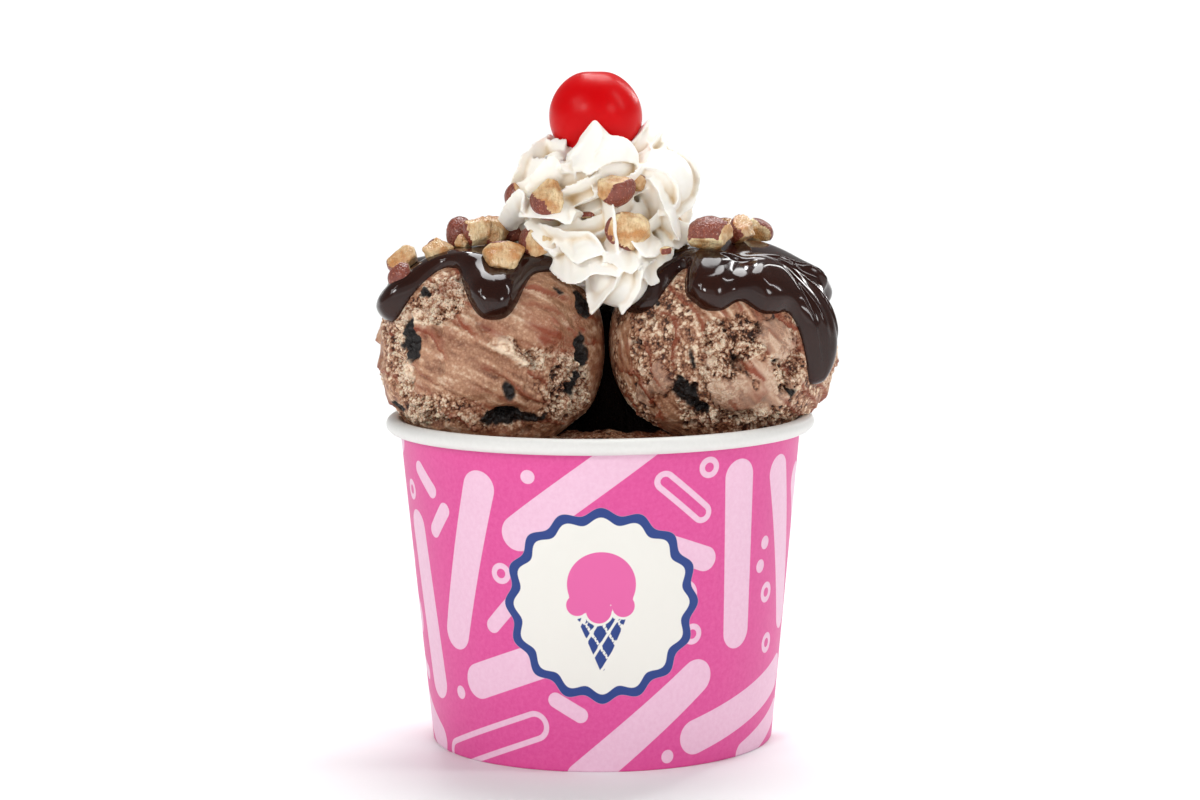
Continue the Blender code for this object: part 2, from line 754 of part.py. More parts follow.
def keep_outside(obj):
    """Drops the closed shells that lie inside the outer one."""
    work = bmesh.new()
    work.from_mesh(obj.data)
    left = set(work.verts)
    shells = []
    while left:
        stack = [left.pop()]
        shell = set(stack)
        while stack:
            for edge in stack.pop().link_edges:
                for vert in edge.verts:
                    if vert in left:
                        left.remove(vert)
                        shell.add(vert)
                        stack.append(vert)
        shells.append(shell)
    shells.sort(key=len)
    for shell in shells[:-1]:
        bmesh.ops.delete(work, geom=list(shell))
    work.to_mesh(obj.data)
    work.free()
    return obj


def even_out(obj, voxel, triangles):
    """Remeshes a joined shape evenly, then thins it to about this many triangles."""
    even = obj.modifiers.new("even", "REMESH")
    even.mode = "VOXEL"
    even.voxel_size = voxel
    bake_modifiers(obj)
    thin = obj.modifiers.new("thin", "DECIMATE")
    thin.ratio = triangles / (2 * len(obj.data.polygons))
    return bake_modifiers(obj)


def build_cream(collection, cutters, cherry_cutter):
    """The spiral laid in short overlapping pieces round a core, joined, then cut to what it touches."""
    core = ball_mesh(
        "whipped_cream",
        CORE_SEGMENTS,
        CORE_RINGS,
        np.array([CUP_AXIS_X, 0, CREAM_CORE_Z]),
        lambda direction: 1 / np.linalg.norm(direction / CREAM_CORE, axis=1),
    )
    obj = add_object(core.name, core, collection)
    step = 1 / CREAM_STEPS_PER_TURN
    pieces = []
    for start in np.arange(CREAM_COURSE[0][0], CREAM_TURNS - step, CREAM_PIECE_TURNS):
        stop = min(start + CREAM_PIECE_TURNS + step / 2, CREAM_TURNS)
        turns = np.linspace(start, stop, int(round((stop - start) / step)) + 1)
        rows = cream_rows(turns)
        points, faces = closed_grid(rows, rows[0].mean(0), rows[-1].mean(0))
        pieces.append(solid_from(f"coil_{len(pieces)}", points, faces))
    rows = peak_rows()
    pieces.append(solid_from("peak", *closed_grid(rows, rows[0].mean(0), rows[-1].mean(0))))
    join_with(obj, pieces)
    join_with(obj, cream_nuts())
    for scoop in (LEFT, RIGHT):
        coated = scoop_cutter(scoop, CREAM_REST_GAP, coated_radius, cutters, CREAM_CUTTER_FINENESS)
        boolean(obj, "DIFFERENCE", coated, "MANIFOLD")
        for mesh in scoop_nuts(scoop, CREAM_REST_GAP):
            boolean(obj, "DIFFERENCE", add_cutter(mesh.name, mesh, cutters), "MANIFOLD")
    boolean(obj, "DIFFERENCE", cherry_cutter, "MANIFOLD")
    return dress(keep_outside(even_out(obj, CREAM_VOXEL, CREAM_TRIANGLES)), "whipped_cream")


def cherry_mesh(name, margin):
    def radius_of(direction):
        polar = angles_of(direction)[1]
        return CHERRY_RADIUS + margin - CHERRY_DIMPLE * np.exp(-((polar / CHERRY_DIMPLE_WIDTH) ** 2))

    centre = np.array(CHERRY_CENTRE) + (CUP_AXIS_X, 0, 0)
    return ball_mesh(name, CHERRY_SEGMENTS, CHERRY_RINGS, centre, radius_of)


def main():
    clear_scene()
    parts = bpy.data.collections.new("ice_cream_sundae")
    cutters = bpy.data.collections.new("cutters")
    bpy.context.scene.collection.children.link(parts)
    bpy.context.scene.collection.children.link(cutters)
    cutters.hide_render = True

    build_cup_wall(parts)
    build_cup_base(parts)
    build_fill(parts, cutters)
    rim = rim_cutter(cutters)
    for scoop in (LEFT, RIGHT):
        build_scoop(scoop, parts, rim)
        build_fudge(scoop, parts, rim, cutters)
    add_object("cherry", cherry_mesh("cherry", 0), parts, "cherry")
    build_cream(parts, cutters, add_cutter("cut_cherry", cherry_mesh("cut_cherry", CLEARANCE), cutters))


main()
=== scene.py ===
# %% [markdown]
# # An ice cream sundae in a paper cup
#
# Two scoops of chocolate ice cream stand in a printed paper cup, under fudge sauce, whipped cream,
# chopped almonds and a cherry. The CAD solids are loaded as a fixed frame. Every piece below is a
# finer surface over one of them, worked out from the same measures.

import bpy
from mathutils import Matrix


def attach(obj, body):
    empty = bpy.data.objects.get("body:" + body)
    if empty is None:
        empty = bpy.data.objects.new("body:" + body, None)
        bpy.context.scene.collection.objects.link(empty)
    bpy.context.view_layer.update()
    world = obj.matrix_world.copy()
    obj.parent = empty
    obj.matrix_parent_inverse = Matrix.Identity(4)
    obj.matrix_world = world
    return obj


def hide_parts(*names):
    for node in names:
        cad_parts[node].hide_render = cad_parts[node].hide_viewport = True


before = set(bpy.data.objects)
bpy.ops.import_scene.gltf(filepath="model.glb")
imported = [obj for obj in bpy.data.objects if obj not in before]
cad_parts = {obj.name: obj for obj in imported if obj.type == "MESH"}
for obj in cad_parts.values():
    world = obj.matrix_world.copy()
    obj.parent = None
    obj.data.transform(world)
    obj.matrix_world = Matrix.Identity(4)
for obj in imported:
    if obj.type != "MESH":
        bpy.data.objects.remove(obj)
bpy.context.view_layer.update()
print("nodes:", ", ".join(sorted(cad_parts)))

# %% Tools, and the measures that every piece shares, in millimetres
from dataclasses import dataclass, field
from itertools import product

import bpy
import numpy as np
from mathutils import Quaternion, Vector
from mathutils.bvhtree import BVHTree

MM = 0.001
CUP_AXIS_X = -2.2
CUP_AXIS = np.array([CUP_AXIS_X, 0.0, 0.0])
print("blender", bpy.app.version_string)

# %% [markdown]
# ## The view, the floor and the light
#
# The photograph looks slightly down on the cup from about 70 cm, through a long lens. Those values
# come from fitting a camera to the cup's rim, wall and foot. The set is a white sweep: a pale
# floor, and a surround that is white below the horizon and grey above it. Discs of even light in
# the sky give soft shadows, and three narrow boxes are what the sauce reflects as streaks.

# %% Camera
LOOK_AT = Vector((CUP_AXIS_X * MM, 0, 0.0755))
DISTANCE = 0.704
DOWN = np.radians(6.7)
ROLL = np.radians(-0.45)
LENS = 95


def show(name, data):
    """An object for a mesh, a light or a camera, put into the scene."""
    made = bpy.data.objects.new(name, data)
    bpy.context.scene.collection.objects.link(made)
    return made


heading = Vector((0, np.cos(DOWN), -np.sin(DOWN)))
camera = show("camera", bpy.data.cameras.new("camera"))
camera.data.lens = LENS
camera.data.clip_start = 0.01
camera.location = LOOK_AT - heading * DISTANCE
camera.rotation_euler = (heading.to_track_quat("-Z", "Y") @ Quaternion((0, 0, 1), ROLL)).to_euler()
bpy.context.scene.camera = camera
bpy.context.scene.view_settings.view_transform = "Standard"
print("camera at", [round(x, 4) for x in camera.location])


# %% Colours and nodes
# The output that a node passes on, where it isn't the first
OUTPUT = {"ShaderNodeAttribute": "Fac", "ShaderNodeTexCoord": "Object", "ShaderNodeMix": 2}


def linear(hex_colour):
    """An sRGB hex colour as linear red, green and blue, and an alpha of 1."""
    value = np.array([int(hex_colour[i : i + 2], 16) for i in (1, 3, 5)]) / 255
    turned = np.where(value <= 0.04045, value / 12.92, ((value + 0.055) / 1.055) ** 2.4)
    return (*turned.tolist(), 1.0)


def feed(socket, value):
    """Gives a socket a node, another socket, a hex colour or a plain value."""
    if isinstance(value, bpy.types.Node):
        value = value.outputs[OUTPUT.get(value.bl_idname, 0)]
    if isinstance(value, bpy.types.NodeSocket):
        socket.id_data.links.new(value, socket)
    else:
        socket.default_value = linear(value) if isinstance(value, str) else value


def add(tree, kind, *values, **named):
    """Adds a node. Small names are its settings, and others its sockets, with underscores for spaces.

    Values without a name feed the first sockets, or the factor and the two colours of a mix.
    """
    made = tree.nodes.new("ShaderNode" + kind)
    if kind == "Mix":
        made.data_type = "RGBA"
    for place, value in zip((0, 6, 7) if kind == "Mix" else range(len(values)), values):
        feed(made.inputs[place], value)
    for name, value in named.items():
        if name.islower():
            setattr(made, name, value)
        else:
            feed(made.inputs[name.replace("_", " ")], value)
    return made


def set_stops(ramp, stops):
    """Hex colours or greys at places along a colour ramp, which starts with two of them."""
    elements = ramp.color_ramp.elements
    for stop, (place, colour) in enumerate(stops):
        element = elements[stop] if stop < 2 else elements.new(place)
        element.position = place
        element.color = linear(colour) if isinstance(colour, str) else (colour, colour, colour, 1)


def new_material(name):
    """A material, its node tree, and the place on the piece in metres."""
    made = bpy.data.materials.new(name)
    made.use_nodes = True
    return made, made.node_tree, add(made.node_tree, "TexCoord")


def finish_material(tree, **named):
    """Feeds the Principled shader's sockets, named with underscores for spaces."""
    for name, value in named.items():
        feed(tree.nodes["Principled BSDF"].inputs[name.replace("_", " ")], value)


# %% Floor, surround and lights
FLOOR_HALF = 6.0
floor_mesh = bpy.data.meshes.new("floor")
corners = [(x * FLOOR_HALF, y * FLOOR_HALF, 0) for x, y in ((-1, -1), (1, -1), (1, 1), (-1, 1))]
floor_mesh.from_pydata(corners, [], [(0, 1, 2, 3)])
floor_paint, tree, _ = new_material("white_sweep_paper")
finish_material(tree, Base_Color="#F8F9F9", Roughness=0.9, Specular_IOR_Level=0.0)
floor = show("floor", floor_mesh)
floor.data.materials.append(floor_paint)

world = bpy.data.worlds.new("surround")
world.use_nodes = True
tree = world.node_tree
upward = add(tree, "SeparateXYZ", add(tree, "TexCoord").outputs["Generated"]).outputs["Z"]
dome = add(tree, "ValToRGB", add(tree, "MapRange", upward, From_Min=-1.0))
set_stops(dome, ((0.0, 1.0), (0.51, 1.0), (0.57, 0.22), (1.0, 0.12)))
feed(tree.nodes["Background"].inputs["Color"], dome)
feed(tree.nodes["Background"].inputs["Strength"], 1.15)
bpy.context.scene.world = world

# Azimuth, elevation and width of a disc in the sky, in degrees, and watts per square metre
SKY_DISCS = {
    "overhead_light": (82, 64, 36, 2.25),
    "key_light": (-122, 24, 12, 0.78),
    "right_light": (-50, 20, 12, 0.45),
    "front_fill": (-95, 5, 50, 0.25),
    "right_glint": (58, 14, 6, 0.16),
    "top_glint": (100, 44, 7, 0.25),
    "left_glint": (-152, 34, 6, 0.16),
}
# Place of a narrow box, in metres, and watts
STRIPS = {
    "left_strip": ((-0.40, -0.34, 0.42), 0.5),
    "right_strip": ((0.42, -0.12, 0.44), 0.6),
    "back_strip": ((0.30, 0.36, 0.40), 0.5),
}
STRIP_AIM = Vector((CUP_AXIS_X * MM, 0, 0.09))


def add_light(name, kind, heading, power, **settings):
    light = bpy.data.lights.new(name, kind)
    light.energy = power
    for setting, value in settings.items():
        setattr(light, setting, value)
    lamp = show(name, light)
    lamp.rotation_euler = Vector(heading).to_track_quat("-Z", "Y").to_euler()
    return lamp


for name, (azimuth, elevation, width, strength) in SKY_DISCS.items():
    a, e = np.radians([azimuth, elevation])
    heading = (-np.cos(e) * np.cos(a), -np.cos(e) * np.sin(a), -np.sin(e))
    add_light(name, "SUN", heading, strength, angle=np.radians(width))
for name, (place, power) in STRIPS.items():
    strip = add_light(name, "AREA", STRIP_AIM - Vector(place), power, shape="RECTANGLE", size=0.03, size_y=0.34)
    strip.location = place
print("lights:", len(SKY_DISCS) + len(STRIPS))

# %% [markdown]
# ## Surfaces from arrays
#
# Each piece is a grid of points, computed as whole arrays. A row of the grid is a closed ring, and
# the stack of rings is closed by a point at each end, or back on itself like a tyre. The helper
# below makes the faces for every piece, and turns them outwards by the sign of the volume.


# %% A closed surface, and a piece made from it
def closed_shell(rows, first_pole=None, last_pole=None, tyre=False):
    """Points, quads and triangles of a closed surface over a grid of points.

    The volume is the sum of a . (b x c) / 6 over the triangles, and where it is negative every
    face is turned over.
    """
    rings, count = rows.shape[:2]
    stack = np.arange(rings if tyre else rings - 1)[:, None]
    step = np.arange(count)[None]
    after, beside = (stack + 1) % rings, (step + 1) % count
    quads = [stack * count + step, stack * count + beside, after * count + beside, after * count + step]
    quads = np.stack(quads, -1).reshape(-1, 4)
    points = rows.reshape(-1, 3)
    triangles = np.empty((0, 3), int)
    for pole, base, turn in ((first_pole, 0, -1), (last_pole, (rings - 1) * count, 1)):
        if pole is not None:
            points = np.vstack([points, pole])
            fan = np.stack([base + step[0], base + beside[0], np.full(count, len(points) - 1)], -1)
            triangles = np.vstack([triangles, fan[:, ::turn]])
    a, b, c = np.moveaxis(points[np.vstack([quads[:, :3], quads[:, [0, 2, 3]], triangles])], 1, 0)
    if np.einsum("ij,ij->", a, np.cross(b, c)) < 0:
        quads, triangles = quads[:, ::-1], triangles[:, ::-1]
    return points, quads, triangles


def merge_shells(shells):
    """Several shells as one: each one's corner numbers go up by the number of points before it."""
    starts = np.cumsum([0] + [len(points) for points, _, _ in shells])
    points = np.vstack([points for points, _, _ in shells])
    quads = np.vstack([quads + start for (_, quads, _), start in zip(shells, starts)])
    triangles = np.vstack([triangles + start for (_, _, triangles), start in zip(shells, starts)])
    return points, quads, triangles


def add_piece(name, shell, material, replaces=(), attributes=None):
    """A mesh from points in millimetres, riding on the object's one body."""
    points, quads, triangles = shell
    mesh = bpy.data.meshes.new(name)
    corners = np.concatenate([quads.ravel(), triangles.ravel()]).astype(np.int32)
    sizes = np.concatenate([np.full(len(quads), 4), np.full(len(triangles), 3)])
    mesh.vertices.add(len(points))
    mesh.vertices.foreach_set("co", (points * MM).astype(np.float32).ravel())
    mesh.loops.add(len(corners))
    mesh.loops.foreach_set("vertex_index", corners)
    mesh.polygons.add(len(sizes))
    mesh.polygons.foreach_set("loop_start", (np.cumsum(sizes) - sizes).astype(np.int32))
    mesh.update(calc_edges=True)
    mesh.validate()
    mesh.shade_smooth()
    for label, values in (attributes or {}).items():
        layer = mesh.attributes.new(label, "FLOAT", "POINT")
        layer.data.foreach_set("value", values.astype(np.float32))
    mesh.materials.append(material)
    piece = show(name, mesh)
    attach(piece, "root")
    if replaces:
        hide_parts(*replaces)
    print(f"{name}: {2 * len(quads) + len(triangles)} triangles")
    return piece


# %% [markdown]
# ## Noise in millimetres
#
# Food is uneven at every scale. Two fields give that: a smooth noise between random values at the
# corners of cubes, and the distance to scattered seeds, which makes grains and crumbs. Both take a
# size in millimetres and a seed, so each run gives the same surface.


# %% Smooth noise and scattered grains
def smooth_noise(points, size, seed):
    """Values near -1 to 1 at cube corners, eased between them by t * t * (3 - 2 t)."""
    table = np.random.default_rng(seed).uniform(-1, 1, (64, 64, 64))
    scaled = points / size
    cell = np.floor(scaled).astype(int)
    t = scaled - cell
    t = t * t * (3 - 2 * t)
    total = np.zeros(len(points))
    for corner in product((0, 1), repeat=3):
        weight = np.prod(np.where(corner, t, 1 - t), axis=1)
        x, y, z = ((cell + corner) % 64).T
        total += weight * table[x, y, z]
    return total


def rough_noise(points, size, seed, layers=3):
    """Smooth noise plus finer layers, each half the size and half the height of the last."""
    return sum(smooth_noise(points, size / 2**i, seed + i) / 2**i for i in range(layers))


def grains(points, size, seed):
    """Distances to the two nearest scattered seeds, in sizes, and the nearest one's own value."""
    random = np.random.default_rng(seed)
    seeds = random.uniform(0, 1, (32, 32, 32, 3))
    tones = random.uniform(-1, 1, (32, 32, 32))
    scaled = points / size
    cell = np.floor(scaled).astype(int)
    nearest = np.full(len(points), 9.0)
    second = np.full(len(points), 9.0)
    tone = np.zeros(len(points))
    for offset in product((-1, 0, 1), repeat=3):
        x, y, z = ((cell + offset) % 32).T
        apart = np.linalg.norm(cell + offset + seeds[x, y, z] - scaled, axis=1)
        closer = apart < nearest
        second = np.where(closer, nearest, np.minimum(second, apart))
        tone = np.where(closer, tones[x, y, z], tone)
        nearest = np.minimum(nearest, apart)
    return nearest, second, tone


def waves(points, seed, count, slowest, fastest):
    """The CAD model's lumps: a sum of sine waves in seeded directions, near -1 to 1."""
    random = np.random.default_rng(seed)
    course = random.normal(size=(count, 3))
    course /= np.linalg.norm(course, axis=1)[:, None]
    course *= random.uniform(slowest, fastest, count)[:, None]
    phase = random.uniform(0, 2 * np.pi, count)
    return np.sin(points @ course.T + phase).sum(1) * np.sqrt(2 / count) / 2


# %% Directions about a centre
def direction_of(azimuth, polar):
    """Unit vectors (sin p cos a, sin p sin a, cos p), from angles in radians."""
    flat = np.sin(polar)
    return np.stack([flat * np.cos(azimuth), flat * np.sin(azimuth), np.cos(polar) + 0 * azimuth], axis=-1)


def ball_grid(polar, steps):
    """Directions on rings at these polar angles, ring after ring, and then both poles."""
    azimuth = np.linspace(-np.pi, np.pi, steps, endpoint=False)
    rings = direction_of(azimuth[None], polar[:, None])
    return np.vstack([rings.reshape(-1, 3), [[0, 0, 1], [0, 0, -1]]])


def closed_ball(points, steps):
    """The closed surface over points in the order of a ball grid."""
    return closed_shell(points[:-2].reshape(-1, steps, 3), points[-2], points[-1])


def about_axis(out, turn, height):
    """Points at a distance from the cup's axis, an azimuth and a height."""
    return np.stack([CUP_AXIS_X + out * np.cos(turn), out * np.sin(turn), height + 0 * out * turn], -1)


def patch_reach(scoop, direction, azimuth, polar, length, width, tilt):
    """0 in the middle of an oval patch on a scoop and 1 at its edge.

    The patch is measured along the surface: u to the east and v upwards, both turned by its tilt.
    """
    a, p, t = np.radians([azimuth, polar, tilt])
    east = np.array([-np.sin(a), np.cos(a), 0])
    upward = -np.array([np.cos(p) * np.cos(a), np.cos(p) * np.sin(a), -np.sin(p)])
    radius = scoop.half_sizes[0]
    u, v = radius * direction @ east, radius * direction @ upward
    along, across = u * np.cos(t) + v * np.sin(t), v * np.cos(t) - u * np.sin(t)
    reach = np.hypot(along / length, across / width)
    return np.where(direction @ direction_of(a, p) > 0, reach, 9.0)

# %% [markdown]
# ## The scoops
#
# A round scooper rolls hard ice cream into a ball. Where its edge slides, the surface is smooth and
# streaked, and where the ice cream tears, it is grainy or falls apart into crumbs. Sculpting could
# give that, but a function of the direction from the scoop's centre keeps it repeatable. The ball,
# its lumps and the sauce's edge are the CAD model's own functions, so the pieces stay in place.
# Patches in angles about the centre say where the real one is smooth, torn, rippled or holds cake, and a few of
# them paint shade where it falls.


# %% The two scoops, with angles in degrees and patches in millimetres
@dataclass
class Scoop:
    """Patches are azimuth, polar angle, half length, half width and tilt, along the surface."""

    side: str
    centre: tuple
    half_sizes: tuple
    shoulder: float
    seed: int
    faces: float
    sauce_edge: float
    tongues: tuple
    flakes: tuple
    scrape: tuple
    patches: dict = field(default_factory=dict)
    pools: tuple = ()
    nuts: tuple = ()


LEFT = Scoop(
    side="left",
    centre=(-23.7, -1.0, 87.6),
    half_sizes=(24.8, 25.3, 22.3),
    shoulder=2.35,
    seed=3,
    faces=0.0,
    sauce_edge=60.0,
    # azimuth, how much further the sauce runs down, half width
    tongues=(
        (-155, 14.5, 16), (-122, -20, 17), (-87, 11, 14), (-50, -14, 20), (0, -15, 26),
        (38, 5, 14), (72, 17, 11), (106, -8, 12), (142, 13, 12), (174, -5, 12),
    ),
    # azimuth, polar angle, half width, height
    flakes=(
        (-128, 62, 9, -0.9), (-100, 96, 16, 0.7), (-62, 78, 12, 0.6), (-148, 100, 10, -1.0),
        (-80, 122, 10, -1.1), (60, 98, 15, 0.8), (120, 84, 13, -0.9),
    ),
    # how far the streaks fall to the right, and how much of the surface is grainy
    scrape=(-27.0, -0.05),
    patches={
        "torn": (
            (-120, 62, 7.5, 6, 60), (-142, 92, 4.5, 14, 0), (-133, 116, 8, 4.5, -30), (-74, 88, 6.5, 2.6, -30),
            (-43, 106, 7, 9, 20), (70, 95, 9, 7, 20), (150, 110, 9, 8, 0),
        ),
        "smooth": ((-98, 92, 12.0, 8.0, -27), (-84, 108, 11.0, 4.0, -20), (-60, 68, 5.0, 6.0, -60)),
        "cake_and_painted_shade": (
            # Those at -31, -37 and -42 degrees, on the side towards the gap, are painted shade, not cake
            (-133, 79, 2.6, 4.8, 15), (-130, 58, 1.1, 1.3, 0), (-78, 122, 7.2, 2.3, 2),
            (-80.6, 106, 1.2, 2.3, 20), (-48, 58, 1.8, 1.3, -20), (-31, 66, 2.6, 3.6, 10), (40, 112, 4, 3, 0),
            (115, 96, 3.2, 4.4, 30), (-160, 120, 2.6, 2, 0), (168, 88, 3, 2.2, 40), (86, 122, 5, 2.4, 0),
            (-37, 89, 2.6, 3.6, 30), (-42, 104, 1.6, 3, -20),
        ),
        "ripple": (
            # The one at -118 degrees is painted shadow under the sauce, not ripple
            (-90, 74, 7, 3, -28), (-118, 60, 7, 4.5, 50), (-60, 75, 6.5, 4.6, -40), (-47, 84, 6.5, 4.6, -30),
            (-37, 74, 3.4, 5.5, 0), (-77, 95, 4, 0.7, -24), (-93, 87, 5, 0.8, -27), (-115, 90, 3.6, 1.1, -30),
            (-92, 104, 4.2, 0.8, -30), (-127, 82, 2.6, 1.6, -40), (-108, 103, 5.5, 0.7, -28),
            (60, 84, 6, 2.4, -20), (130, 70, 5, 2.6, 30), (100, 108, 6, 1.6, -30), (-20, 100, 5, 3, 20),
        ),
    },
    # thicker places in the sauce: azimuth, polar angle, half length, half width, tilt, height
    pools=(
        (-152, 66, 6, 4.6, 50, 1.5), (-88, 61, 5.2, 5.4, 0, 2), (-118, 38, 9, 2.2, 20, 0.5),
        (72, 66, 4, 5, 0, 1), (142, 62, 4.5, 4.5, 0, 0.8), (20, 40, 8, 3, 30, 0.5),
    ),
)

RIGHT = Scoop(
    side="right",
    centre=(27.3, -0.5, 88.2),
    half_sizes=(25.3, 25.6, 22.0),
    shoulder=2.15,
    seed=8,
    faces=180.0,
    sauce_edge=62.0,
    tongues=(
        (-146, 10, 17), (-122, -20, 6.5), (-97, 7, 11), (-66, 9, 13), (-38, 46, 13), (12, 9, 12),
        (46, 24, 9), (84, 4, 12), (120, 17, 10), (152, -7, 12), (180, -9, 14),
    ),
    flakes=(
        (-68, 82, 12, 0.9), (-84, 108, 13, 0.8), (-104, 100, 7, -1.2), (-98, 84, 6, -0.9),
        (-132, 104, 11, 0.6), (40, 104, 14, 0.8), (100, 90, 12, -0.9),
    ),
    scrape=(-55.0, 0.55),
    patches={
        "torn": (
            (-88, 84, 7.5, 6, 0), (-95, 100, 5, 6, 20), (-60, 98, 6, 7, 0), (-100, 124, 8, 3, 0),
            (-75, 124, 7, 4, 0), (60, 90, 10, 8, 0), (130, 104, 9, 7, 0),
        ),
        "smooth": ((-129, 124, 5.0, 8.0, -20), (-150, 96, 4.0, 10.0, 0)),
        "cake_and_painted_shade": (
            (-107, 94, 1, 3.1, 8), (-112, 113, 2.3, 5, 22), (-106, 121, 2.4, 2.4, 0), (-56, 112, 2.4, 1.6, 20),
            (-66, 92, 0.9, 1.4, 0), (-130, 66, 0.8, 0.8, 0), (48, 100, 3.4, 2.4, 20), (120, 86, 2.4, 4.2, 0),
            (90, 112, 4.4, 2, -20),
        ),
        "ripple": (
            (-100, 94, 2, 4.2, 10), (-108, 103, 1.6, 3, 0), (-52, 88, 4, 5, 0), (-56, 101, 3.2, 3.4, 0),
            (-90, 76, 6, 1, -10), (-28, 84, 5, 8, 0), (-12, 70, 6, 6, 0), (-84, 96, 3, 1.2, 20),
            (20, 96, 5, 3, 10), (80, 100, 6, 2, -20), (110, 74, 5, 2.6, 20), (-100, 128, 7, 1.6, 0),
        ),
        # flat shavings, each a little plane that lies on the ball
        "plate": (
            (-65.5, 83, 3.4, 4.2, 35), (-86, 109, 4.6, 5.2, 40), (-68, 110, 4, 3.4, 25),
            (-123, 103, 2.3, 2.8, 30), (-139, 111, 2, 3.6, -30), (-76, 96, 3, 2.2, -40), (36, 84, 4, 3.4, 20),
            (72, 108, 4.4, 3.4, -20),
        ),
    },
    pools=(
        (-99, 50, 5.6, 7, 0, 2.3), (-63, 52, 6.4, 6, -15, 2.1), (-81, 47, 2.6, 7, -25, -1),
        (-140, 52, 6, 3.6, 40, 1.3), (-37, 82, 3.4, 11, 8, 1.6), (-44, 76, 0.7, 10, 10, -0.5),
        (-30, 80, 0.7, 11, 10, 0.7), (-26, 52, 9, 1.1, -48, 0.8), (-34, 44, 8, 1, -40, 0.6),
        (-18, 62, 9, 0.9, -65, 0.7), (-80, 36, 7, 1, -12, 0.5), (46, 72, 3.4, 5.4, 0, 0.9),
        (120, 66, 3.6, 5, 0, 0.9), (90, 40, 9, 2, 10, 0.5),
    ),
)
SCOOPS = (LEFT, RIGHT)


def middle_of(scoop):
    return np.array(scoop.centre) + CUP_AXIS


# %% Shapes shared with the CAD model
CLEARANCE = 0.3
SAUCE_THIN, SAUCE_BEAD, SAUCE_LIP, SAUCE_BEAD_INSET = 1.3, 2.5, 2.4, 3.6
BARE_START, BARE_FADE = 1.2, 6.0
LUMP_HEIGHT, CRAG_HEIGHT = 0.45, 0.4
JOINT_SIDE, JOINT_FADE = 0.93, 0.15
FLAKE_EDGE = 4
EDGE_SAMPLES = 1440
CHUNK = 6000


def sauce_edge(scoop, azimuth):
    """Polar angle that the sauce reaches: a ring, plus reach * exp(-|turn / width| ** 3) for each tongue."""
    degrees = np.degrees(azimuth)
    edge = np.full_like(degrees, scoop.sauce_edge)
    for centre, reach, width in scoop.tongues:
        edge += reach * np.exp(-np.abs(((degrees - centre + 180) % 360 - 180) / width) ** 3)
    return np.radians(edge)


def inset_from_edge(scoop, direction):
    """How far a direction lies inside the sauce's edge, along the scoop. Negative where it is bare."""
    samples = np.linspace(-np.pi, np.pi, EDGE_SAMPLES, endpoint=False)
    rim = direction_of(samples, sauce_edge(scoop, samples))
    blocks = np.array_split(direction, max(1, len(direction) // CHUNK))
    closest = np.concatenate([(block @ rim.T).max(1) for block in blocks])
    nearest = np.arccos(np.clip(closest, -1, 1)) * scoop.half_sizes[0]
    azimuth = np.arctan2(direction[:, 1], direction[:, 0])
    polar = np.arccos(np.clip(direction[:, 2], -1, 1))
    return np.where(polar < sauce_edge(scoop, azimuth), nearest, -nearest)


def open_side(scoop, direction):
    """1 where the scoop stands free, and 0 where it nearly touches the other one."""
    away = direction @ direction_of(np.radians(scoop.faces), np.radians(90))
    return np.clip((JOINT_SIDE - away) / JOINT_FADE, 0, 1)


def ball_radius(scoop, direction, inset):
    """(|x/a, y/b| ** s + |z/c| ** s) ** (-1/s), plus the CAD model's lumps, crags and flakes."""
    a, b, c = scoop.half_sizes
    around = np.hypot(direction[:, 0] / a, direction[:, 1] / b) ** scoop.shoulder
    upright = np.abs(direction[:, 2] / c) ** scoop.shoulder
    bare = np.clip((-inset - BARE_START) / BARE_FADE, 0, 1)
    lumps = LUMP_HEIGHT * waves(direction, scoop.seed, 10, 3, 6)
    crags = CRAG_HEIGHT * waves(direction, scoop.seed + 1, 16, 9, 15) * bare
    for azimuth, polar, width, height in scoop.flakes:
        middle = direction_of(np.radians(azimuth), np.radians(polar))
        apart = np.degrees(np.arccos(np.clip(direction @ middle, -1, 1)))
        crags += height * bare * np.clip((width - apart) / FLAKE_EDGE, 0, 1)
    return (around + upright) ** (-1 / scoop.shoulder) + (lumps + crags) * open_side(scoop, direction)


# %% [markdown]
# The cup's rim and wall cut into what leans on them. Along each ray from a scoop's centre, the
# surface stops where it would first enter the paper.

# %% The cup's own outline, and where a ray meets it
CUP_HEIGHT, PAPER = 72.7, 0.5
FOOT_RADIUS, RIM_RADIUS = 37.9, 47.5
WALL_SLOPE = 6.4 / 68.6
ROLL_HALF_WIDTH, ROLL_HALF_HEIGHT = 1.8, 2.05
ROLL_RADIUS, ROLL_Z = RIM_RADIUS - ROLL_HALF_WIDTH, CUP_HEIGHT - ROLL_HALF_HEIGHT
RAY_STEPS = 48


def wall_outside(height):
    return FOOT_RADIUS + WALL_SLOPE * height


def in_paper(points, margin=CLEARANCE):
    """True inside the rim's oval, under it, or outside the wall's inner face."""
    out = np.hypot(points[..., 0] - CUP_AXIS_X, points[..., 1])
    height = points[..., 2]
    across = (out - ROLL_RADIUS) / (ROLL_HALF_WIDTH + margin)
    upwards = (height - ROLL_Z) / (ROLL_HALF_HEIGHT + margin)
    oval = np.hypot(across, upwards) < 1
    return oval | ((height < ROLL_Z) & (out > wall_outside(height) - PAPER - margin))


def stop_at_paper(centre, direction, radius):
    """The radius, or less where the ray from the centre enters the paper sooner."""
    share = np.linspace(0.45, 1, RAY_STEPS)
    low = np.full(len(radius), share[0])
    for step in share[1:]:
        clear = ~in_paper(centre + direction * (radius * step)[:, None])
        low = np.where(clear & (low >= step - (share[1] - share[0]) * 1.01), step, low)
    return radius * low


